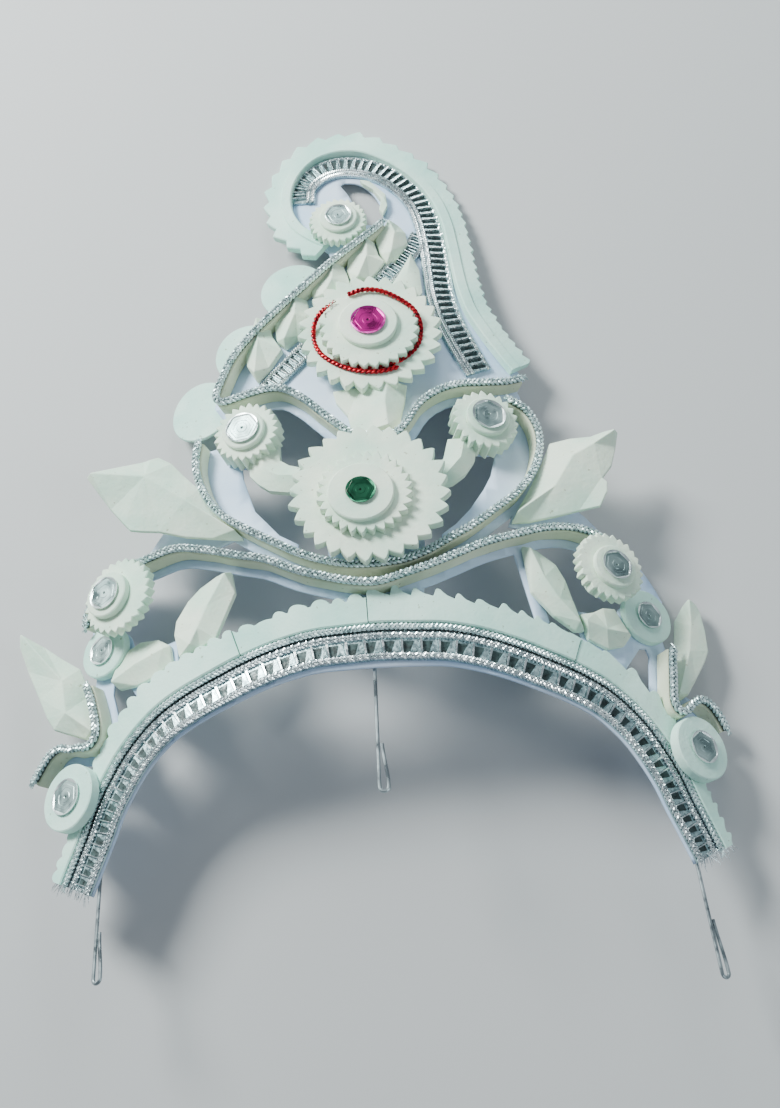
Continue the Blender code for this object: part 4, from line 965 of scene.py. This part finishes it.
def in_frame(matrix, points):
    """The points, from a piece's own axes into the world's."""
    return [tuple(matrix @ Vector(point)) for point in points]


def toothed_radius(row, layer, angle):
    """The rim of a layer at an angle, with sharp hooked teeth of uneven length."""
    if not layer.depth:
        return layer.radius
    turn = angle / math.tau * row.teeth
    number = math.floor(turn)
    phase = turn - number
    ragged = rough(number * 3.7, layer.radius * 900.0, 5.0)
    rise = (phase / TOOTH_PEAK) ** 0.9 if phase < TOOTH_PEAK else (1 - phase) / (1 - TOOTH_PEAK)
    return layer.radius - layer.depth * (1.0 - rise) + layer.depth * 0.35 * ragged * rise


def rosette(row):
    """Stacked pith discs with cut rims, a post under them and a sequin on top."""
    frame_here = seat_frame(*flat(row), LAYER)
    base = SEATS[row.seat] - LAYER
    parts = []
    if row.post:
        parts.append(post(frame_here, row.post, base))
    height = base
    for layer in row.layers:
        samples = TOOTH_SAMPLES * row.teeth if layer.depth else DISC_SIDES
        rings = []
        for level, inset in ((0.0, RIM_ROUNDING), (RIM_ROUNDING, 0.0), (layer.thick - RIM_ROUNDING, 0.0),
                             (layer.thick, CHAMFER)):
            ring = []
            for index in range(samples):
                angle = math.tau * index / samples
                reach = toothed_radius(row, layer, angle) - inset
                cosine, sine = math.cos(angle), math.sin(angle)
                dome = 0.00012 * rough(3 * cosine, 3 * sine, layer.radius * 700)
                ring.append((reach * cosine + layer.side, reach * sine + layer.shift, height + level + dome))
            rings.append(ring)
        rings.append([((x - layer.side) * 0.8 + layer.side, (y - layer.shift) * 0.8 + layer.shift, z + 0.0001)
                      for x, y, z in rings[-1]])
        verts = in_frame(frame_here, [point for ring in rings for point in ring])
        parts.append((verts, ring_faces(len(rings), samples)))
        height += layer.thick
    if row.name in SIDE_STEMS:
        parts.append(carved_part(SIDE_STEMS[row.name], on_card))
    if row.name == PETAL_TIP.node:
        parts.append(carved_part(PETAL_TIP, on_card))
    dress(row.name, parts, PITH_CREAM if row.teeth else PITH)
    sequin(row, frame_here, height + GAP)


def post(matrix, radius, height):
    """The round post that carries a raised rosette."""
    points = []
    for level in (0.0, height):
        for index in range(POST_SIDES):
            angle = math.tau * index / POST_SIDES
            points.append((radius * math.cos(angle), radius * math.sin(angle), level))
    return in_frame(matrix, points), ring_faces(2, POST_SIDES)


def cup_rings(row, matrix, height, rings):
    """A thin closed ring body; each ring has a share of the radius, a rise and how six-sided it is."""
    side, shift = row.layers[-1].side, row.layers[-1].shift
    turn = 0.5 + 2.0 * rough(row.across * 9, row.up * 9, 1.0)
    points = []
    levels = [(*ring, SEQUIN_THICK / 2) for ring in rings]
    levels += [(*ring, -SEQUIN_THICK / 2) for ring in reversed(rings)]
    for share, rise, hexed, face in levels:
        for index in range(SEQUIN_SIDES):
            angle = math.tau * (index + 0.5) / SEQUIN_SIDES
            corner = (angle % (math.tau / 6)) - math.tau / 12
            cut = math.cos(math.tau / 12) / math.cos(corner)
            reach = share * row.sequin_radius * (1 + hexed * (cut - 1))
            points.append((reach * math.cos(angle + turn) + side, reach * math.sin(angle + turn) + shift,
                           height + rise * SEQUIN_DEPTH + face))
    faces = ring_faces(len(levels), SEQUIN_SIDES, closed=True)
    last = (len(levels) - 1) * SEQUIN_SIDES
    for index in range(SEQUIN_SIDES):
        other = (index + 1) % SEQUIN_SIDES
        faces.append((last + index, last + other, other, index))
    return in_frame(matrix, points), faces


def sequin(row, matrix, height):
    """A cup sequin: a wide flat hexagon with a pinhole and fine rings, in a turned-up rim painted brighter
    than the plate as a highlight; the silver plate is painted dark as a reflection.
    """
    foils = {"sequin_green": [SEQUIN_GREEN, GREEN_RIM_HIGHLIGHT], "sequin_pink": [SEQUIN_PINK, PINK_RIM_HIGHLIGHT]}
    plate = [(0.06, 0.30, 0.0), (0.10, 0.44, 0.0), (0.30, 0.44, 0.1), (0.33, 0.36, 0.2), (0.52, 0.36, 0.5),
             (0.55, 0.43, 0.6), (0.74, 0.43, 1.0), (0.77, 0.36, 1.0), (0.93, 0.36, 1.0)]
    rim = [(0.95, 0.40, 1.0), (0.965, 0.62, 0.4), (1.00, 0.70, 0.0)]
    parts = [cup_rings(row, matrix, height, plate), (*cup_rings(row, matrix, height, rim), 1)]
    dress(row.sequin, parts, foils.get(row.sequin, [SEQUIN_SILVER_DARK_REFLECTION, SILVER_RIM_HIGHLIGHT]), smooth=False)


def on_card(across, up, height):
    """A point of a piece that lies on the card."""
    return place(across, up, LAYER + height)


def carved_part(row, put):
    """A piece cut from pith: an upright edge all round, and faces that rise from it to a ridge."""
    count = len(row.outline)
    corners = [Vector((x / 1000, y / 1000)) for x, y in row.outline + row.ridge]
    ridge_edges = [(count + i, count + i + 1) for i in range(len(row.ridge) - 1)]
    outline = list(range(count))
    if anticlockwise([corners[i] for i in outline]) != [corners[i] for i in outline]:
        outline = outline[::-1]
    points, _, triangles, origins, _, owners = delaunay_2d_cdt(corners, ridge_edges, [outline], 1, 1e-7, True)
    tops = []
    for point, origin in zip(points, origins):
        on_ridge = any(index >= count for index in origin)
        tops.append((row.peak if on_ridge else row.edge) / 1000)
    kept = [triangle for triangle, owner in zip(triangles, owners) if owner]
    total = len(points)
    across = np.array([point.x for point in points])
    up = np.array([point.y for point in points])
    verts = list(put(across, up, np.array(tops))) + list(put(across, up, np.zeros(total)))
    faces = [tuple(triangle) for triangle in kept]
    faces += [tuple(total + index for index in reversed(triangle)) for triangle in kept]
    edges = {}
    for triangle in kept:
        for a, b in zip(triangle, triangle[1:] + triangle[:1]):
            edges[(a, b)] = edges.get((a, b), 0) + 1
    for a, b in edges:
        if (b, a) not in edges:
            faces.append((b, a, total + a, total + b))
    return verts, faces


def flat_carvings():
    """The carved leaves, diamonds and stem that lie on the card, and the rim of the eye."""
    for row in FLAT_CARVINGS:
        dress(row.node, [carved_part(row, on_card)], PITH_CREAM, smooth=False, bevel=CARVED_BEVEL)
    dress(EYE_RIM.node, [carved_part(EYE_RIM, on_card)], PITH_CREAM, "eye_rim", smooth=False, bevel=RIM_BEVEL)


def standing_leaves():
    """The leaves that stand off the card."""
    for row in STANDING_LEAVES:
        matrix = seat_frame(*flat(row), LAYER, row.forward, row.heading)

        def in_leaf(across, up, height, matrix=matrix):
            return in_frame(matrix, np.stack([across, up, height], axis=-1))

        dress(row.node, [carved_part(row, in_leaf)], PITH_CREAM, smooth=False, bevel=CARVED_BEVEL)


def scallops():
    """Thin round discs behind the spire's edge, each a little out of round."""
    angles = np.arange(SCALLOP_SIDES) * math.tau / SCALLOP_SIDES
    for number, spot in enumerate(SCALLOPS):
        centre = flat(spot)
        rings = []
        for share, depth in ((0.55, 0.0), (0.98, 0.0), (1.0, RIM_ROUNDING),
                             (1.0, SCALLOP_THICK - RIM_ROUNDING), (0.98, SCALLOP_THICK)):
            reach = SCALLOP_RADIUS * share * (1 + 0.012 * np.sin(3 * angles + number))
            across = centre[0] + reach * np.cos(angles)
            rings.append(place(across, centre[1] + reach * np.sin(angles), -GAP - depth))
        dress(f"scallop_{number + 1}", [(np.vstack(rings), ring_faces(len(rings), SCALLOP_SIDES))], PITH)


def red_cord():
    """Two red metallic strands twisted round each other, looped on the pink rosette."""
    row = next(row for row in ROSETTES if row.name == "rosette_pink")
    base = SEATS[row.seat] + row.layers[0].thick + RED_CORD_RADIUS
    centre_up = row.up * CROWN_HEIGHT
    parts = []
    for route in RED_ROUTES:
        points, lefts, marks = smooth_route(route, STRIP_STEP)
        climb = np.clip((points[:, 1] - centre_up + 0.002) / 0.008, 0, 1) * (row.layers[1].thick + GAP)
        points = points - np.stack([0 * climb, climb * 0.35], axis=1)
        taper = np.clip((marks[-1] - marks) / 0.006, 0.35, 1.0)
        for strand in range(2):
            swing = math.tau * (marks / RED_PITCH + strand / 2)
            line = points + lefts * (RED_SWING * np.sin(swing))[:, None]
            parts.append(thread(line, base + climb + RED_SWING * np.cos(swing), RED_STRAND * taper))
    dress("red_cord", parts, RED_THREAD)


def hair_pin(row):
    """A wire hair pin: down from the card, round its end and part of the way back."""
    matrix = seat_frame(*flat(row), -GAP - PIN_RADIUS, heading=row.heading)
    straight = int((PIN_GLUED + row.length) / PIN_STEP)
    route = [(-PIN_GLUED + PIN_STEP * index, 0.0) for index in range(straight)]
    for index in range(PIN_BEND_STEPS + 1):
        angle = math.pi * index / PIN_BEND_STEPS - math.pi / 2
        route.append((row.length + PIN_BEND * math.cos(angle), PIN_BEND * (1 + math.sin(angle))))
    steps = int(row.back / PIN_STEP)
    for index in range(1, steps):
        nearing = (1 - math.cos(math.pi * index / steps)) / 2
        side = PIN_BEND * 2 + (PIN_RADIUS * 2 + GAP / 3 - PIN_BEND * 2) * nearing
        route.append((row.length - PIN_STEP * index, side))
    path = np.array(in_frame(matrix, [(along, side, 0.0) for along, side in route]))
    outward = np.tile(np.array(matrix.to_3x3() @ Vector((0, 0, 1))), (len(path), 1))
    dress(row.name, [tube(path, outward, PIN_RADIUS, PIN_SIDES)], WIRE)


# Floor, light and camera

def stage_and_light():
    """A plain pale floor and soft studio light."""
    floor_mesh = bpy.data.meshes.new("floor")
    corners = ((-1, -1), (1, -1), (1, 1), (-1, 1))
    floor_mesh.from_pydata([(x * FLOOR_REACH, y * FLOOR_REACH, 0) for x, y in corners], [], [(0, 1, 2, 3)])
    floor = add_object("floor", floor_mesh)
    floor_paint, _, shader = new_material("floor_paint", (0.52, 0.53, 0.54), 0.7)
    floor_mesh.materials.append(floor_paint)
    world = bpy.data.worlds.new("studio")
    bpy.context.scene.world = world
    world.use_nodes = True
    sky = world.node_tree.nodes["Background"]
    sky.inputs["Color"].default_value = (0.80, 0.90, 1.0, 1.0)
    sky.inputs["Strength"].default_value = 0.30
    area_light("key_light", (-0.60, 0.55, 0.62), 0.32, 23.0, (0.95, 1.0, 0.97))
    area_light("fill_light", (0.75, -0.35, 0.70), 0.60, 3.0, (0.85, 0.95, 1.0))
    area_light("rim_light", (0.15, 0.95, 0.45), 0.30, 4.0, (0.90, 1.0, 1.0))


def area_light(name, spot, size, power, colour):
    """A square soft light that faces the crown."""
    light = bpy.data.lights.new(name, "AREA")
    light.size = size
    light.energy = power
    light.color = colour
    obj = add_object(name, light)
    obj.location = spot
    obj.rotation_euler = (-Vector(spot)).to_track_quat("-Z", "Y").to_euler()


def set_camera():
    """The photograph's view, carried from the lean it was fitted at to the lean of the laid crown."""
    back = Vector((math.sin(CAMERA_AZIMUTH) * math.cos(CAMERA_ELEVATION),
                   -math.cos(CAMERA_AZIMUTH) * math.cos(CAMERA_ELEVATION), math.sin(CAMERA_ELEVATION)))
    right = (-back).cross(Vector((0, 0, 1))).normalized()
    up = right.cross(-back)
    rolled_right = right * math.cos(CAMERA_ROLL) + up * math.sin(CAMERA_ROLL)
    rolled_up = up * math.cos(CAMERA_ROLL) - right * math.sin(CAMERA_ROLL)
    axes = Matrix((rolled_right, rolled_up, back)).transposed().to_4x4()
    fitted = Matrix.Translation(CAMERA_TARGET + back * CAMERA_DISTANCE) @ axes
    camera_data = bpy.data.cameras.new("camera")
    camera_data.lens = CAMERA_LENS
    camera = add_object("camera", camera_data)
    camera.matrix_world = SETTLE @ Matrix.Rotation(FITTED_LEAN, 4, "X") @ fitted
    bpy.context.scene.camera = camera


set_camera()
stage_and_light()
backing_card()
band_strip()
plaited_cord("band_cord", BAND, BAND_PLAIT, LAYER + STRIP_THICK - 0.0008)
silver_trim("band_trim", BAND, BAND_TRIM)
band_fringe()
for stem, fin_rows in (("scroll", SCROLL_RIB), ("bowl", BOWL), ("spire", SPIRE)):
    fin(stem + "_rib", fin_rows)
    plaited_cord(stem + "_cord", fin_rows, FIN_PLAIT, FIN_CORD_HEIGHT)
for side_name, fin_rows in (("left", CURL_LEFT), ("right", CURL_RIGHT)):
    fin("curl_rib_" + side_name, fin_rows)
    plaited_cord("curl_cord_" + side_name, fin_rows, FIN_PLAIT, FIN_CORD_HEIGHT)
crest()
silver_trim("crest_trim", CREST_TRIM, CREST_RIBBON)
silver_trim("inner_trim", INNER_TRIM, INNER_RIBBON)
scallops()
for rosette_row in ROSETTES:
    rosette(rosette_row)
red_cord()
flat_carvings()
standing_leaves()
for pin_row in PINS:
    hair_pin(pin_row)
